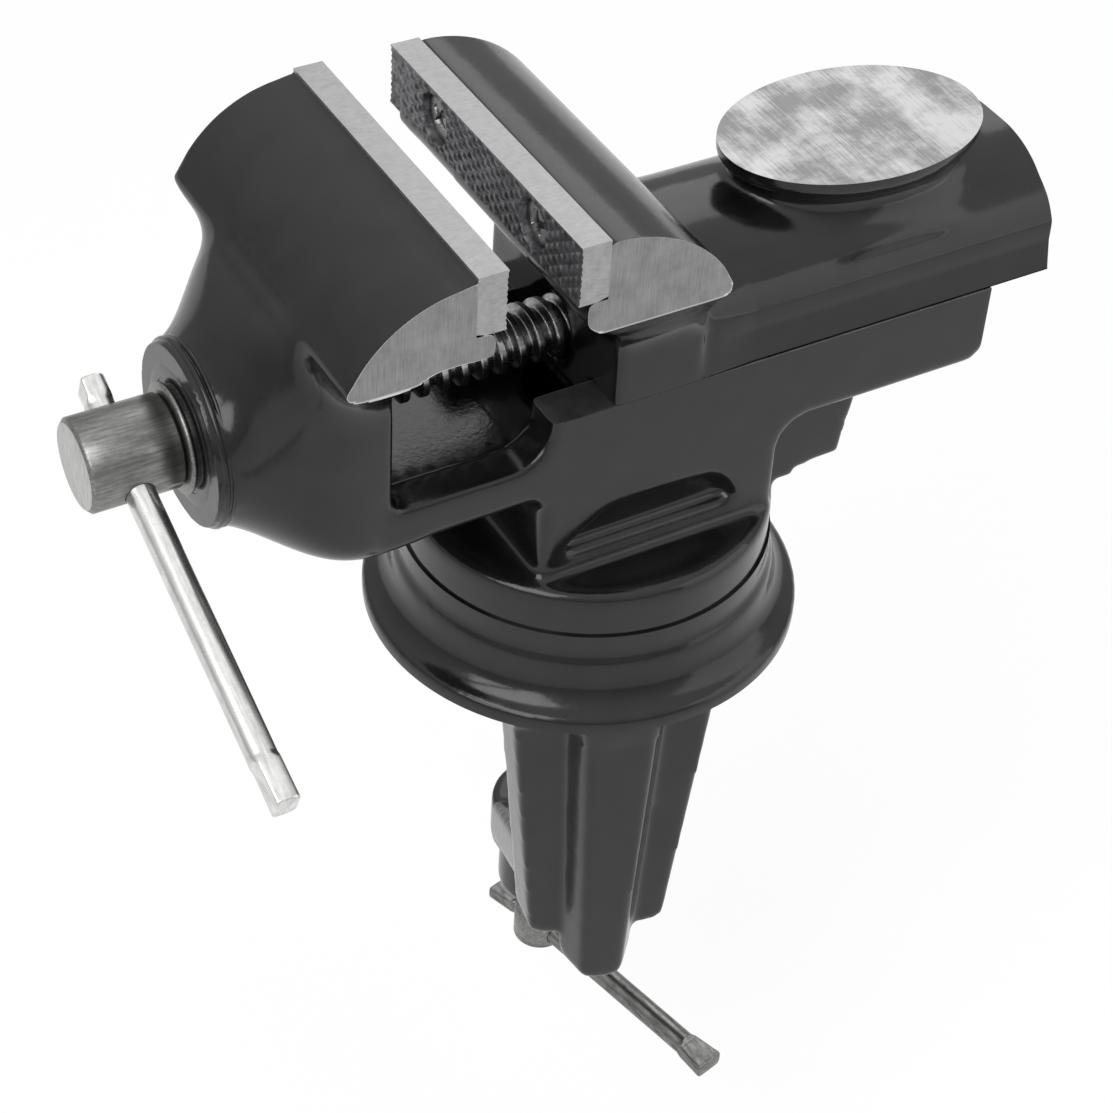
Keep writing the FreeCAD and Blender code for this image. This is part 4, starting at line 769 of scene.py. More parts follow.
@dataclass
class CastSkin:
    """The skin of a casting, made from the solid: sand-cast edges are rounded, machined flats stay crisp.

    The solid's flats are pushed out, the whole is remeshed to small even faces and relaxed, which rounds
    every edge and fills every corner, and the flats are then planed back to their levels. push is how far
    they are pushed, spare what may lie over that, rim how far a flat reaches past its region, and rub_from
    how far a point has to move for the paint to look thin. blend says where the skin is softer, fill where
    hollows fill up, model moves points, and raw says where the sand's grain shows; each gets the points.
    """

    node: str
    name: str
    flats: Sequence[Machined]
    voxel: float
    passes: int = 7
    push: float = 2.2
    spare: float = 0.6
    rim: float = 1.4
    rub_from: float = 0.35
    rub_gain: float = 1.2
    blend: Optional[Callable[[Array], Array]] = None
    blend_passes: int = 40
    fill: Optional[Callable[[Array], Array]] = None
    fill_passes: int = 520
    model: Optional[Callable[[Array], Array]] = None
    raw: Optional[Callable[[Array], Array]] = None

    def build(self) -> bpy.types.Object:
        """Makes the skin.

        Returns:
            The new object, with point attributes raw, rub and rim and the flats' material slots.
        """
        piece = merged_copy(self.node, self.name)
        points = self.read(piece.data)
        for flat in self.flats:
            marks = (np.abs(points[:, flat.axis.value] - flat.level) < 0.02) & flat.inside(points, 0.05)
            points[marks, flat.axis.value] += flat.side * self.push
        self.write(piece.data, points)
        mesh = self.remeshed(piece)
        points = self.read(mesh)
        edges = read_rows(mesh.edges, "vertices", 2, np.int32)
        cast = relax(points, edges, np.full(len(points), 0.5), self.passes)
        if self.blend:
            cast = relax(cast, edges, 0.5 * np.clip(self.blend(cast), 0, 1), self.blend_passes)
        moved_in = np.linalg.norm(cast - points, axis=1)
        if self.fill:
            self.write(mesh, cast)
            normals = read_rows(mesh.vertex_normals, "vector").astype(float)
            cast = relax(cast, edges, 0.5 * np.clip(self.fill(cast), 0, 1), self.fill_passes, normals)
        if self.model:
            cast = self.model(cast)
        planed = self.plane(cast)
        self.write(mesh, cast)
        self.attribute(mesh, "raw", self.raw(cast) if self.raw else np.zeros(len(cast)))
        rub = np.clip((moved_in - self.rub_from) * self.rub_gain, 0, 1)
        self.attribute(mesh, "rub", np.where(planed, 0, rub))
        # rim marks the points along each flat's edge, where the ground finishes paint a highlight
        border = edges[planed[edges[:, 0]] != planed[edges[:, 1]]].ravel()
        self.attribute(mesh, "rim", np.isin(np.arange(len(cast)), border))
        with editing(mesh) as work:
            bmesh.ops.dissolve_degenerate(work, dist=2e-5, edges=work.edges)
        self.mark_flats(mesh)
        soften(mesh, 40.0)
        return piece

    def remeshed(self, piece: bpy.types.Object) -> bpy.types.Mesh:
        """Gives a piece a voxel remesh of the skin's own step.

        Args:
            piece: the object, which takes the new mesh.

        Returns:
            The new mesh.
        """
        change = piece.modifiers.new("even", "REMESH")
        change.mode = "VOXEL"
        change.voxel_size = self.voxel * MM
        graph = bpy.context.evaluated_depsgraph_get()
        mesh = bpy.data.meshes.new_from_object(piece.evaluated_get(graph))
        old = piece.data
        piece.modifiers.clear()
        piece.data = mesh
        bpy.data.meshes.remove(old)
        mesh.name = self.name
        return mesh

    @staticmethod
    def read(mesh: bpy.types.Mesh) -> Array:
        """Points of a mesh in millimetres."""
        return read_rows(mesh.vertices, "co").astype(float) / MM

    @staticmethod
    def write(mesh: bpy.types.Mesh, points: Array) -> None:
        """Sets a mesh's points, given in millimetres."""
        mesh.vertices.foreach_set("co", (points * MM).astype(np.float32).ravel())
        mesh.update()

    @staticmethod
    def attribute(mesh: bpy.types.Mesh, name: str, values: Array) -> None:
        """Stores one number a point for the finish to read."""
        layer = mesh.attributes.new(name, "FLOAT", "POINT")
        layer.data.foreach_set("value", values.astype(np.float32))

    def plane(self, cast: Array) -> Array:
        """Brings what lies over a flat back to its level.

        Args:
            cast: the skin's points, which are moved in place.

        Returns:
            One truth value a point, true on a flat.
        """
        planed = np.zeros(len(cast), bool)
        for flat in self.flats:
            over = (cast[:, flat.axis.value] - flat.level) * flat.side
            marks = (over > 0) & (over < self.push + self.spare) & flat.inside(cast, self.rim)
            cast[marks, flat.axis.value] = flat.level
            planed |= marks
        return planed

    def mark_flats(self, mesh: bpy.types.Mesh) -> None:
        """Gives each planed face the slot of its flat.

        Args:
            mesh: the planed skin.
        """
        centres = read_rows(mesh.polygons, "center") / MM
        normals = read_rows(mesh.polygons, "normal")
        slots = np.zeros(len(centres), np.int32)
        for flat in self.flats:
            near = (np.abs(centres[:, flat.axis.value] - flat.level) < 0.06) & flat.inside(centres, self.rim)
            slots[near & (normals[:, flat.axis.value] * flat.side > 0.95)] = flat.slot
        mesh.polygons.foreach_set("material_index", slots)


# Sub-assemblies


@dataclass
class JawPlate:
    """Hardened plate with a diamond-serrated face and two countersunk holes.

    face is the plate's working face along X and inwards the way from it into the plate.
    """

    name: str
    node: str
    body: str
    face: float
    inwards: int
    low: float = 100.6
    high: float = 112.6
    thickness: float = 5.7
    pitch_across: float = 3.4
    pitch_up: float = 2.4
    depth: float = 0.34
    lip: float = 0.2
    border: float = 0.7
    screw_spread: float = 18.0
    sink_radius: float = 4.8
    sink_depth: float = 2.2
    sink_chamfer: float = 0.45
    dark_depth: float = 2.6
    step: float = 0.2

    def relief(self, across: Array, up: Array) -> Array:
        """How far the face lies below its crests: two families of grooves cross at the diamonds' sides.

        Each groove is a rounded V, |2 frac(t) - 1|^1.6 of t = across / pitch +- up / pitch. The diamonds
        fade out in plain upper and lower borders, and each hole is a well with a small chamfer.

        Args:
            across: millimetres from the plate's middle along Y.
            up: millimetres above its middle.

        Returns:
            Millimetres below the crests.
        """
        first = across / self.pitch_across + up / self.pitch_up
        second = across / self.pitch_across - up / self.pitch_up
        ridge = [np.abs(2 * (t - np.floor(t)) - 1) ** 1.6 for t in (first, second)]
        edge = (self.high - self.low) / 2 - np.abs(up)
        diamonds = self.depth * np.maximum(*ridge) * ramp(edge, self.lip, self.border)
        away = np.hypot(np.abs(across) - self.screw_spread, up)
        well = ramp(away, self.sink_radius, -self.sink_chamfer) * self.sink_depth
        return np.where(away < self.sink_radius, np.maximum(well, 0.1), diamonds)

    def build(self) -> None:
        """Makes the plate: a fine face grid, closed by the sides and the back."""
        across = np.arange(-JAW_HALF, JAW_HALF + 1e-6, self.step)
        up = np.arange(self.low, self.high + 1e-6, self.step)
        grid_across, grid_up = np.meshgrid(across, up)
        below = self.relief(grid_across, grid_up - (self.low + self.high) / 2)
        face = np.stack([self.face + self.inwards * below, grid_across, grid_up], axis=-1)
        back = face[[0, -1]][:, [0, -1]].copy()
        back[..., 0] = self.face + self.inwards * self.thickness
        rows, columns = face.shape[:2]
        count = rows * columns
        faces = grid_faces(rows, columns, False).tolist()
        index = np.arange(count).reshape(rows, columns)
        low_left, low_right, high_left, high_right = range(count, count + 4)
        for line, (start, end) in ((index[0], (low_left, low_right)), (index[-1], (high_left, high_right)),
                                   (index[:, 0], (low_left, high_left)),
                                   (index[:, -1], (low_right, high_right))):
            faces.append([*line.tolist(), end, start])
        faces.append([low_left, low_right, high_right, high_left])
        piece = make_piece(self.name, np.concatenate([face.reshape(-1, 3), back.reshape(-1, 3)]), faces, 42.0)
        normals = read_rows(piece.data.polygons, "normal")
        depth = (read_rows(piece.data.polygons, "center")[:, 0] / MM - self.face) * self.inwards
        ends = np.abs(normals[:, 1:]).max(axis=1) > 0.99
        dark = (depth < self.dark_depth) & ~ends
        piece.data.polygons.foreach_set("material_index", dark.astype(np.int32))
        seat(paint(piece, GROUND, SERRATED), self.body, Slot.GROUND, self.node)


@dataclass
class RecessedScrews:
    """Two countersunk screws with cross recesses, in one piece.

    face is where their heads' faces lie along X, and inwards the way that they point.
    """

    name: str
    node: str
    body: str
    face: float
    inwards: int
    level: float = 106.6
    spread: float = 18.0
    head_radius: float = 4.15
    shank_radius: float = 2.5
    length: float = 11.95
    recess_half_long: float = 2.5
    recess_half_wide: float = 0.55
    recess_depth: float = 1.5
    recess_slant: float = 0.12
    recess_run: float = 1.6
    turns: tuple[float, float] = (0.35, 0.9)
    columns: int = 96

    def build(self) -> None:
        """Makes the screws: the head's face is a polar grid that sinks where the cross is.

        The cross is where |u| < wide and |v| < long or the other way round, with slanted walls, and its
        depth falls to nothing at the arms' ends.
        """
        turn = np.linspace(0, 2 * np.pi, self.columns, endpoint=False)
        radii = np.linspace(self.head_radius, 0.02, 40)[:, None]
        u, v = np.abs(radii * np.cos(turn)), np.abs(radii * np.sin(turn))
        slant = self.recess_slant
        wall = ramp(np.minimum(u, v), self.recess_half_wide + slant, -2 * slant)
        reach = ramp(np.maximum(u, v), self.recess_half_long, -self.recess_run)
        sink = self.recess_depth * wall * np.sqrt(reach) + 0.12 * (radii / self.head_radius) ** 4
        cone = self.head_radius - self.shank_radius + 0.3
        shank = np.array([[self.length, self.shank_radius * 0.6], [self.length - 1.0, self.shank_radius],
                          [cone, self.shank_radius], [0.3, self.head_radius]])
        depth = np.concatenate([shank[:, :1] * np.ones(self.columns), sink])
        radius = np.concatenate([shank[:, 1:], radii]) * np.ones(self.columns)
        rows = len(depth)
        points, faces = [], []
        for number, side in enumerate((-1, 1)):
            angle = turn + self.turns[number]
            points.append(np.stack([self.face + depth * self.inwards,
                                    side * self.spread - self.inwards * radius * np.cos(angle),
                                    self.level + radius * np.sin(angle)], axis=-1).reshape(-1, 3))
            base = number * rows * self.columns
            faces.extend((grid_faces(rows, self.columns, True) + base).tolist())
            faces.append(list(range(base, base + self.columns)))
            faces.append(list(range(base + (rows - 1) * self.columns, base + rows * self.columns)))
        piece = make_piece(self.name, np.concatenate(points), faces, 40.0)
        seat(paint(piece, ZINC), self.body, Slot.ZINC, self.node)


@dataclass
class TBar:
    """Sliding bar whose ends are pressed flat from one side, which spreads them a little.

    origin is on the screw's axis, along the way to the long end, and flat the way that the pressed faces
    look. reach and flare are the lengths from the origin and of the pressed part, at the long end and the
    short end. half_wide is reached at the tips, press is how high the pressed face lies over the bar's
    axis, and heel how far the other side lies below it.
    """

    name: str
    node: str
    body: str
    origin: Triple
    along: Triple
    flat: Triple
    radius: float
    reach: tuple[float, float]
    flare: tuple[float, float]
    half_wide: float
    press: float
    heel: float
    finish: Finish
    chamfer: float = 0.5
    columns: int = 120

    def build(self) -> None:
        """Makes the bar, one ring a row.

        A ring's point at angle t is (wide cos t, radius sin t); the upper half is held under the pressed
        face and the lower half over the heel by a smooth minimum, (a + b - sqrt((a - b)^2 + e^2)) / 2.
        Both faces dive to their levels along a short slope, which leaves a rounded mark on the round bar.
        """
        along, flat, side = directions(self.along, self.flat)
        low, high = -self.reach[1], self.reach[0]
        long_start, short_start = high - self.flare[0], low + self.flare[1]
        tip = np.array([0, 0.06, 0.16, 0.3, 0.5])
        rows = np.unique(np.concatenate([
            low + tip, np.linspace(low + 0.7, short_start + 1.0, 26),
            np.linspace(short_start + 1.5, long_start - 1.5, 24),
            np.linspace(long_start - 1.0, high - 0.7, 44), high - tip]))
        past = np.maximum(rows - long_start, short_start - rows)
        share = np.maximum((rows - long_start) / self.flare[0], (short_start - rows) / self.flare[1])
        edge = np.minimum(rows - low, high - rows)
        drop = np.sqrt(np.clip(self.chamfer ** 2 - (self.chamfer - edge) ** 2, 0, None))
        rounding = np.where(edge < self.chamfer, self.chamfer - drop, 0)
        wide = self.radius + (self.half_wide - self.radius) * np.clip(share, 0, 1) - rounding
        dive = smooth_step((past + 0.3) / 1.7)
        clear = self.radius + 0.4
        roof, sole = (clear + (level - clear) * dive - rounding for level in (self.press, self.heel))
        turn = np.linspace(0, 2 * np.pi, self.columns, endpoint=False)
        square = (1.0 - 0.35 * dive)[:, None]
        cos, sin = np.cos(turn), np.sin(turn)
        x = wide[:, None] * np.sign(cos) * np.abs(cos) ** square
        round_up = (self.radius - rounding)[:, None] * np.abs(sin) ** square
        limit = np.where(sin > 0, roof[:, None], sole[:, None])
        held = (round_up + limit - np.sqrt((round_up - limit) ** 2 + 0.02)) / 2
        y = np.sign(sin) * np.where(np.abs(sin) < 1e-9, 0, held)
        rings = (np.array(self.origin) + rows[:, None, None] * along + x[..., None] * side
                 + y[..., None] * flat)
        seat(paint(tube_piece(self.name, rings), self.finish), self.body, Slot.ZINC, self.node)


def fit_plate(jaw: str, body: str, face: float, inwards: int) -> None:
    """Builds a jaw's plate and its two screws, whose heads lie 1.3 below the plate's face.

    Args:
        jaw: front or rear.
        body: the body that both ride on.
        face: the plate's face along X.
        inwards: the way from it into the plate.
    """
    JawPlate(f"{jaw}_plate", f"{jaw}_jaw_plate", body, face, inwards).build()
    RecessedScrews(f"{jaw}_screws", f"{jaw}_plate_screws", body, face + 1.3 * inwards, inwards).build()


@dataclass
class ClampBracket:
    """Clamp casting with its swivel bolt and washers."""

    def build(self) -> None:
        """Makes the bracket's skin and dresses the bolt."""
        skin = CastSkin("clamp_bracket", "bracket_casting",
                        [Machined(Axis.Z, 0.0, -1), Machined(Axis.Z, SEAT_LEVEL, 1)],
                        voxel=0.66, passes=6, blend=self.hollows, blend_passes=14)
        seat(paint(skin.build(), ENAMEL), "bracket", Slot.ENAMEL, "clamp_bracket")
        dress_nodes(ZINC, "swivel_bolt", "swivel_washer", "swivel_spring_washer")

    @staticmethod
    def hollows(points: Array) -> Array:
        """Softer where column, rib and arm run together, and on the flange's rim and flare."""
        z = points[:, 2]
        return np.maximum(0.35 * (z < -2.5), 0.25 * ((z > 4.2) & (z < 12.0)))


@dataclass
class ViseBody:
    """Fixed casting: swivel plate, pedestal, bed, front jaw and spindle boss, with its plate and washer."""

    bed_top: float = 65.9
    bed_end: float = 73.9
    plate_back: float = -45.5
    plate_top: float = 112.35
    plate_run: float = 4.2
    nose_inner: float = 10.6
    nose_outer: float = 16.4
    nose_radius: float = 17.6
    nose_root: float = -79.7
    grooves: tuple[float, float] = (-82.3, -81.1)
    groove_depth: float = 0.5
    groove_width: float = 0.28

    def build(self) -> None:
        """Makes the casting's skin, the plate and its screws."""
        flats = [*jaw_ends((-72.0, -39.0)), Machined(Axis.Z, SEAT_LEVEL, -1),
                 Machined(Axis.Z, self.bed_top, 1, ((-22.8, 80.0), (-30.0, 30.0)), slot=1),
                 Machined(Axis.X, BOSS_FACE, -1), Machined(Axis.X, self.bed_end, 1),
                 Machined(Axis.X, self.plate_back, 1, PLATE_SEAT)]
        skin = CastSkin("vise_body", "vise_casting", flats, voxel=0.78, blend=self.hollows,
                        raw=self.rough, fill=self.sweep, model=self.fitted)
        seat(paint(skin.build(), ENAMEL, GROUND_IRON), "vise", Slot.ENAMEL, "vise_body")
        fit_plate("front", "vise", -39.8, -1)
        self.boss_nose()

    def boss_nose(self) -> None:
        """Turned end of the boss and the bright ring that the spindle's head runs on.

        The end's face is a shallow dome, ((radius - inner) / 6)^2 deep, with a quarter round at its edge,
        and its rim carries two grooves, each a bell below the rim's radius.
        """
        spin = Spin((0.0, 0.0, SPINDLE_LEVEL), (1.0, 0.0, 0.0), (0.0, 0.0, 1.0), 160)
        out = np.linspace(self.nose_inner, self.nose_outer, 14)
        face = np.stack([-84.65 + ((out - self.nose_inner) / 6) ** 2, out], axis=-1)
        turn = np.linspace(0.1, 1, 8) * np.pi / 2
        edge = np.stack([-83.7 + 0.9 * (1 - np.cos(turn)), self.nose_outer + 1.2 * np.sin(turn)], axis=-1)
        along = np.arange(-82.75, self.nose_root, 0.08)
        cut = sum(self.groove_depth * bell(along, place, self.groove_width) for place in self.grooves)
        band = np.stack([along, self.nose_radius - cut], axis=-1)
        inside = np.array([[self.nose_root, 16.0], [-83.0, 16.0], [-83.5, self.nose_inner]])
        nose = ring_loop_piece("boss_nose", spin.rings(np.concatenate([face, edge, band, inside])))
        seat(paint(nose, ENAMEL), "vise", Slot.ENAMEL)
        rim = np.array([[-84.5, 6.3], [-84.5, 9.3], [-85.1, 9.4], [-85.35, 9.9], [-85.6, 10.2],
                        [-85.9, 10.28], [-86.2, 10.2], [-86.4, 9.9], [-86.48, 9.4], [-86.48, 6.3]])
        ring = ring_loop_piece("thrust_ring", spin.rings(rim), 50.0)
        seat(paint(ring, ZINC), "vise", Slot.ZINC, "thrust_washer")

    @staticmethod
    def hollows(points: Array) -> Array:
        """Softer along the jaw's flares, the boss's shoulder and the pedestal's foot."""
        x, y, z = points.T
        flare = bell(z, 90, 6) * (np.abs(y) > 16) * (x < -46)
        shoulder = 0.5 * bell(x, -79.5, 3) * (x > -81.6)
        foot = 0.25 * bell(z, 30, 2) * (np.hypot(x, y) < 36)
        return np.maximum.reduce([flare, shoulder, foot])

    @staticmethod
    def sweep(points: Array) -> Array:
        """Where flank, wing and throat run into each other in one hollow sweep."""
        x, y, z = points.T
        along = ramp(x, -84, 4) * ramp(x, -56, -3)
        up = ramp(z, 62, 6) * ramp(z, 104, -4)
        return along * up * ramp(np.abs(y), 11, 3) * ramp(np.abs(y), 34.5, -1.5)

    def fitted(self, points: Array) -> Array:
        """Draws the roof up to the plate's back, and gives the rear gusset one slanted edge.

        At d from the plate's back the roof rises by rise (1 - sqrt(1 - (1 - d / run)^2)), a quarter round.
        The gusset's x beyond 40 is scaled, which takes the solid's small step out of its edge.

        Args:
            points: the skin's points.

        Returns:
            The same points, moved.
        """
        x, y, z = points.T
        near = (x > self.plate_back - 1.2) & (x < self.plate_back + 0.4) & (np.abs(y) < 30)
        roof = float(z[near].max())
        share = np.clip(1 - (self.plate_back - x) / self.plate_run, 0, 1)
        rise = (self.plate_top - roof) * (1 - np.sqrt(1 - share ** 2))
        points[:, 2] += rise * ramp(z - roof, -2.5, 2) * (x < self.plate_back + 4)
        step = np.interp(z, [29.0, 36.0, 40.0, 47.0], [47.1, 47.3, 50.3, 50.4])
        slant = np.interp(z, [29.0, 36.5, 42.5, 46.0, 47.0], [47.3, 48.6, 49.6, 50.3, 50.4])
        inside = (np.abs(y) < 19.6) & (x > 40) & (x < 52) & (z < 46.4) & (z > 27)
        points[:, 0] = np.where(inside, 40 + (x - 40) * (slant - 40) / (step - 40), x)
        return points

    @staticmethod
    def rough(points: Array) -> Array:
        """Unfettled casting inside the notch and the channel."""
        x, y, z = points.T
        inside = (x > -53.9) & (x < -23.2) & (z < 62) & (z > 50)
        return inside * ramp(y, -12, 8)


@dataclass
class Slide:
    """Moving casting with hood, rear jaw and anvil, and what is screwed to it."""

    anvil_level: float = 94.9
    under: float = 66.0
    plate_back: float = -20.5
    hood_end: float = 87.6
    hood_base: float = 62.0

    def build(self) -> None:
        """Makes the casting's skin, the plate, its screws, the keeper and the nut."""
        flats = [*jaw_ends((-29.0, 8.0)),
                 Machined(Axis.Z, self.anvil_level, 1, ((20.0, 86.0), (-25.0, 25.0)), slot=2),
                 Machined(Axis.Z, self.under, -1, ((-12.0, 90.0), (-25.0, -15.4)), slot=1),
                 Machined(Axis.Z, self.under, -1, ((-12.0, 90.0), (15.4, 25.0)), slot=1),
                 Machined(Axis.X, self.hood_end, 1), Machined(Axis.X, self.plate_back, -1, PLATE_SEAT)]
        skin = CastSkin("slide_casting", "slide_skin", flats, voxel=0.66, blend=self.hollows,
                        blend_passes=60, model=self.rounded_hood)
        seat(paint(skin.build(), ENAMEL, GROUND_IRON, ANVIL_GROUND), "slide", Slot.ENAMEL, "slide_casting")
        fit_plate("rear", "slide", -26.2, 1)
        dress_nodes(DARK, "keeper_plate")
        dress_nodes(ZINC, "keeper_screws")
        dress_nodes(NUT_IRON, "spindle_nut")

    @staticmethod
    def hollows(points: Array) -> Array:
        """Softer along the jaw's flares, the jaw's back on the hood and the anvil's neck."""
        x, y, z = points.T
        flare = bell(z, 88, 7) * (np.abs(y) > 14) * (x < 12) * ramp(np.abs(y), 31.5, -4)
        back = bell(x, 9, 5) * (z > 76)
        anvil_x, half_long, half_wide = 53, 27.5, 18.7
        oval = np.hypot((x - anvil_x) / half_long, y / half_wide)
        neck = bell(oval, 0.95, 0.2) * (z < 91.6) * (z > 80)
        return np.maximum.reduce([flare, back, neck * 0.7])

    def rounded_hood(self, points: Array) -> Array:
        """Turns the hood's shoulders into wide soft rounds.

        Both sections are radii over the angle about (0, hood_base): the solid's with its shoulder round of
        5, the wanted one with 13. Each point's radius is scaled by their ratio, fading inside the walls
        and towards the jaw.

        Args:
            points: the skin's points.

        Returns:
            The moved points.
        """
        x, y, z = points.T
        base = self.hood_base
        reach, turn = np.hypot(y, z - base), np.arctan2(z - base, np.abs(y))
        radii = []
        for shoulder in (5.0, 13.0):
            line = filleted([(22.3, base), (22.3, 79.3, shoulder), (9.0, 88.0, 20.0), (0.0, 88.0)], 24)
            out, up = line[:, 0], line[:, 1] - base
            radii.append(np.interp(turn, np.arctan2(up, out), np.hypot(out, up)))
        share = ramp(reach, 13, 5) * ramp(reach, radii[0] + 3, -2)
        share *= ramp(x, 12, 8) * (z > base + 1)
        scale = 1 + (radii[1] / radii[0] - 1) * share
        return np.stack([x, y * scale, base + (z - base) * scale], axis=-1)


@dataclass
class SpindleSet:
    """Lead screw with its turned head, T-bar, collar and pin."""

    radius: float = 5.95
    lead: float = 4.0
    thread_depth: float = 1.5
    cut: float = -60.0
    thread_start: float = -47.5
    end: float = 46.0
    tilt: float = 21.74
    bar_place: float = -95.3375

    def build(self) -> None:
        """Makes the head from the solid, and the screw with its right-hand thread."""
        head = cut_head("lead_spindle", "spindle_head", Axis.X, self.cut)
        # Faces looking along -X, the head's end, take the lighter zinc: painted light on the lamp side over
        # its faced finish
        lit_end_faces = read_rows(head.data.polygons, "normal")[:, 0] < -0.9
        head.data.polygons.foreach_set("material_index", lit_end_faces.astype(np.int32))
        seat(paint(head, ZINC, LIT_END_ZINC), "spindle", Slot.ZINC, "lead_spindle")
        spin = Spin((0.0, 0.0, SPINDLE_LEVEL), (1.0, 0.0, 0.0), (0.0, 0.0, 1.0), 72)
        shoulder = self.end - 1.5
        profile = np.array([[self.cut, 0.02], [self.cut, self.radius], [self.thread_start, self.radius],
                            [shoulder, self.radius], [self.end, self.radius - 1.5], [self.end, 0.02]])
        screw = spin.threaded("spindle_thread", profile, (self.thread_start, shoulder), self.lead,
                              self.thread_depth, 3.0)
        seat(paint(screw, THREAD_STEEL), "spindle", Slot.ZINC)
        lean = math.radians(self.tilt)
        TBar("spindle_t_bar", "spindle_bar", "spindle_handle", (self.bar_place, 0.0, SPINDLE_LEVEL),
             (0.0, -math.cos(lean), -math.sin(lean)), (-1.0, 0.0, 0.0), radius=2.75, reach=(71.0, 14.9),
             flare=(9.5, 4.9), half_wide=3.25, press=2.0, heel=2.5, finish=BAR_ZINC).build()
        dress_nodes(DARK, "spindle_collar", "collar_pin")


@dataclass
class ClampSet:
    """Clamp screw with its head and T-bar, pad and snap ring."""

    place: tuple[float, float] = (3.8627, 11.8882)
    radius: float = 5.0
    pitch: float = 2.0
    thread_depth: float = 0.95
    cut: float = -112.6
    thread_start: float = -111.5
    thread_end: float = -26.2
    turn: float = 13.82
    bar_level: float = -119.9

    def build(self) -> None:
        """Makes the screw's head from the solid, its thread, the bar and the pad."""
        head = cut_head("clamp_screw", "clamp_screw_head", Axis.Z, self.cut)
        seat(paint(head, ZINC), "screw", Slot.ZINC, "clamp_screw")
        spin = Spin((*self.place, 0.0), (0.0, 0.0, 1.0), (1.0, 0.0, 0.0), 72)
        profile = np.array([[self.cut, 0.02], [self.cut, self.radius], [self.thread_end, self.radius],
                            [-25.5, self.radius - 0.7], [-25.5, 4.0], [-23.1, 4.0], [-23.1, 3.3],
                            [-21.7, 3.3], [-21.7, 4.0], [-18.6, 4.0], [-18.6, 0.02]])
        screw = spin.threaded("clamp_thread", profile, (self.thread_start, self.thread_end), self.pitch,
                              self.thread_depth, 1.5)
        seat(paint(screw, THREAD_STEEL), "screw", Slot.ZINC)
        lean = math.radians(self.turn)
        TBar("clamp_t_bar", "clamp_bar", "clamp_handle", (*self.place, self.bar_level),
             (math.sin(lean), -math.cos(lean), 0.0), (0.0, 0.0, 1.0), radius=2.65, reach=(56.4, 14.2),
             flare=(8.0, 8.0), half_wide=3.6, press=1.7, heel=2.2, finish=DULL_ZINC).build()
        dress_nodes(DARK, "clamp_pad", "pad_ring")


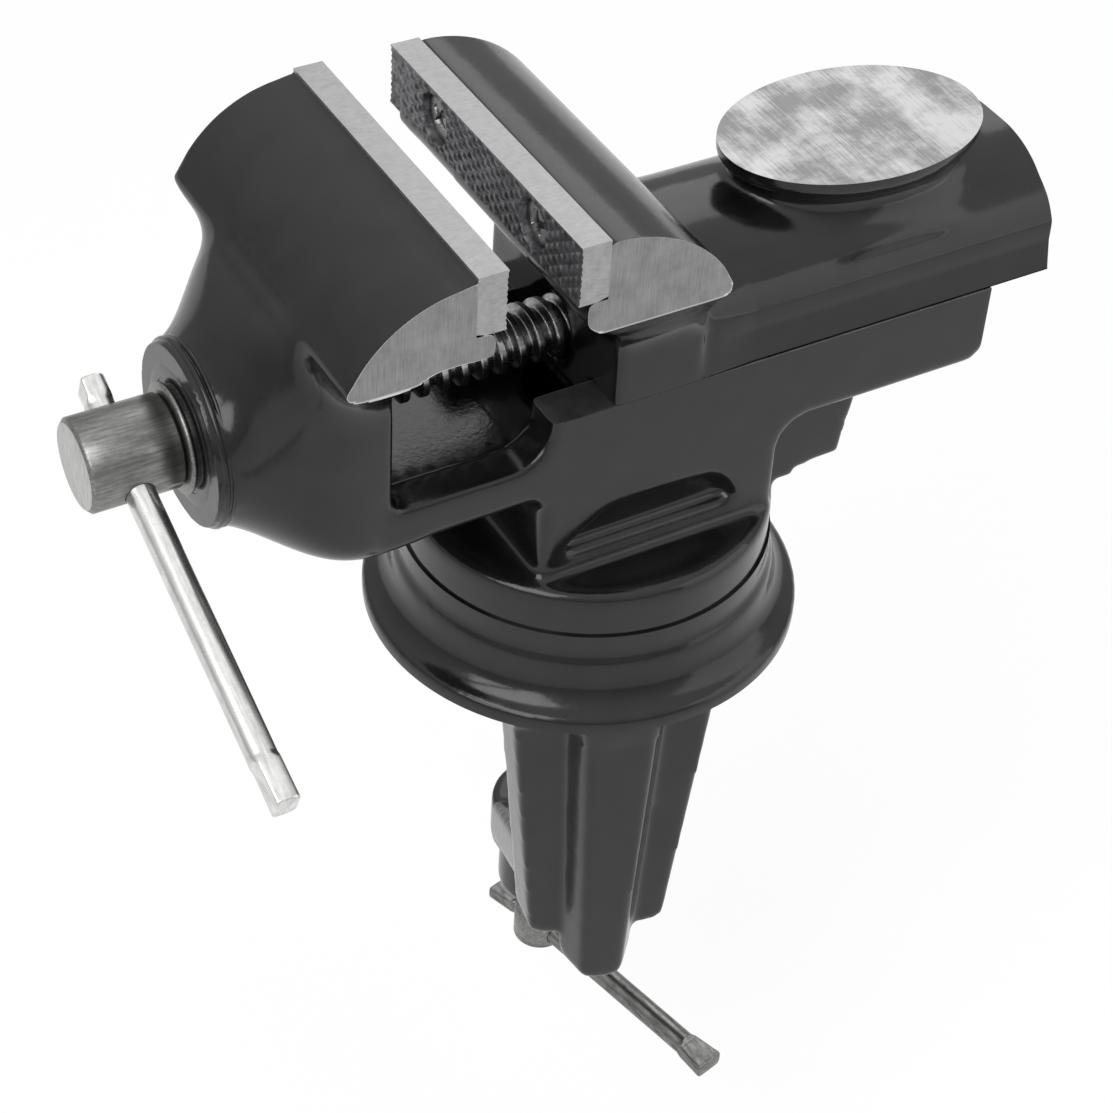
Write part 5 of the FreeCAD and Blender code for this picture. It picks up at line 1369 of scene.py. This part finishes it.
@dataclass
class Studio:
    """Pale floor, soft lamps and the camera at the photograph's viewing angle."""

    azimuth: float = -31.614
    elevation: float = 41.79
    roll: float = 3.686
    distance: float = 541.008
    target: Triple = (-7.194, 0.0, 8.735)
    focal_px: float = 2700.035
    image_px: float = 1113.0
    axis_px: tuple[float, float] = (549.5, 558.5)
    sensor: float = 36.0
    floor_level: float = -172.6
    floor_half: float = 6000.0
    floor_glow: float = 0.75
    floor_mirrored: float = 0.88
    sky: tuple[float, float] = (0.4, 1.1)

    def build(self) -> None:
        """Sets the stage; the lamps stand at these places, with these widths and watts."""
        self.floor()
        self.world()
        self.lamp("key", (-620.0, -290.0, 580.0), 560.0, 3.4)
        self.lamp("fill", (520.0, -420.0, 260.0), 600.0, 1.0)
        self.lamp("rim", (400.0, 560.0, 600.0), 420.0, 0.62)
        self.camera()
        bpy.context.scene.view_settings.view_transform = "Standard"

    def floor(self) -> None:
        """A wide flat sheet that looks white and keeps a soft shadow."""
        mesh = bpy.data.meshes.new("floor")
        half, level = self.floor_half * MM, self.floor_level * MM
        corners = [(-half, -half, level), (half, -half, level), (half, half, level), (-half, half, level)]
        mesh.from_pydata(corners, [], [(0, 1, 2, 3)])
        sheet = add_object("floor", mesh)
        material = bpy.data.materials.new("pale_paper")
        tree = fresh_tree(material)
        paper = add_node(tree, "ShaderNodeBsdfDiffuse", {"Color": linear("#f4f4f4")})
        path = add_node(tree, "ShaderNodeLightPath")
        mirrored = path.outputs["Is Glossy Ray"]
        strength = add_node(tree, "ShaderNodeMapRange", {"Value": mirrored, "To Min": 1.0,
                                                         "To Max": self.floor_mirrored})
        glow = add_node(tree, "ShaderNodeEmission", {"Color": WHITE, "Strength": strength.outputs[0]})
        seen = joined(tree, "MAXIMUM", path.outputs["Is Camera Ray"], mirrored)
        share = joined(tree, "MULTIPLY", seen, self.floor_glow)
        both = add_node(tree, "ShaderNodeMixShader", {0: share, 1: paper.outputs[0], 2: glow.outputs[0]})
        add_node(tree, "ShaderNodeOutputMaterial", {"Surface": both.outputs[0]})
        mesh.materials.append(material)

    def world(self) -> None:
        """White where the camera looks past the floor; as a light it rises from the horizon to the top."""
        world = bpy.data.worlds.new("studio")
        tree = fresh_tree(world)
        place = add_node(tree, "ShaderNodeTexCoord").outputs["Generated"]
        way = add_node(tree, "ShaderNodeSeparateXYZ", {0: place})
        dome = add_node(tree, "ShaderNodeMapRange", {"Value": way.outputs["Z"], "To Min": self.sky[0],
                                                     "To Max": self.sky[1]})
        path = add_node(tree, "ShaderNodeLightPath").outputs
        seen = joined(tree, "MAXIMUM", path["Is Camera Ray"], path["Is Transmission Ray"])
        strength = add_node(tree, "ShaderNodeMix", {"Factor": seen, 2: dome.outputs[0], 3: 1.0},
                            data_type="FLOAT")
        sky = add_node(tree, "ShaderNodeBackground", {"Color": WHITE, "Strength": strength.outputs[0]})
        add_node(tree, "ShaderNodeOutputWorld", {"Surface": sky.outputs[0]})
        bpy.context.scene.world = world

    def lamp(self, name: str, place: Triple, size: float, power: float) -> None:
        """Adds a square soft lamp that faces the vise.

        Args:
            name: the lamp's name.
            place: its middle in millimetres.
            size: its width in millimetres.
            power: its watts.
        """
        data = bpy.data.lights.new(name, "AREA")
        data.size = size * MM
        data.energy = power
        lamp = add_object(name, data)
        lamp.location = Vector(place) * MM
        aim = Vector((0.0, 0.0, 0.04)) - lamp.location
        lamp.rotation_euler = aim.to_track_quat("-Z", "Y").to_euler()

    def camera(self) -> None:
        """Places the camera from its two angles, roll and distance, as solved from the photograph."""
        turn, rise, roll = map(math.radians, (self.azimuth, self.elevation, self.roll))
        back = Vector((math.sin(turn) * math.cos(rise), -math.cos(turn) * math.cos(rise), math.sin(rise)))
        right = Vector((math.cos(turn), math.sin(turn), 0.0))
        up = back.cross(right)
        tilted_right = right * math.cos(roll) + up * math.sin(roll)
        tilted_up = up * math.cos(roll) - right * math.sin(roll)
        place = (Vector(self.target) + back * self.distance) * MM
        data = bpy.data.cameras.new("camera")
        data.sensor_fit = "AUTO"
        data.sensor_width = self.sensor
        data.lens = self.sensor * self.focal_px / self.image_px
        data.shift_x = (self.image_px / 2 - self.axis_px[0]) / self.image_px
        data.shift_y = (self.axis_px[1] - self.image_px / 2) / self.image_px
        data.clip_start = 0.01
        data.clip_end = 50.0
        camera = add_object("camera", data)
        axes = Matrix((tilted_right, tilted_up, back)).transposed().to_4x4()
        camera.matrix_world = Matrix.Translation(place) @ axes
        bpy.context.scene.camera = camera


def main() -> None:
    """Builds the vise from the bracket up, then the studio."""
    logging.basicConfig(level=logging.INFO, format="%(name)s: %(message)s")
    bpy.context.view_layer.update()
    for part in (ClampBracket(), ViseBody(), Slide(), SpindleSet(), ClampSet(), Studio()):
        log.info("building %s", type(part).__name__)
        part.build()


if __name__ == "__main__":
    main()
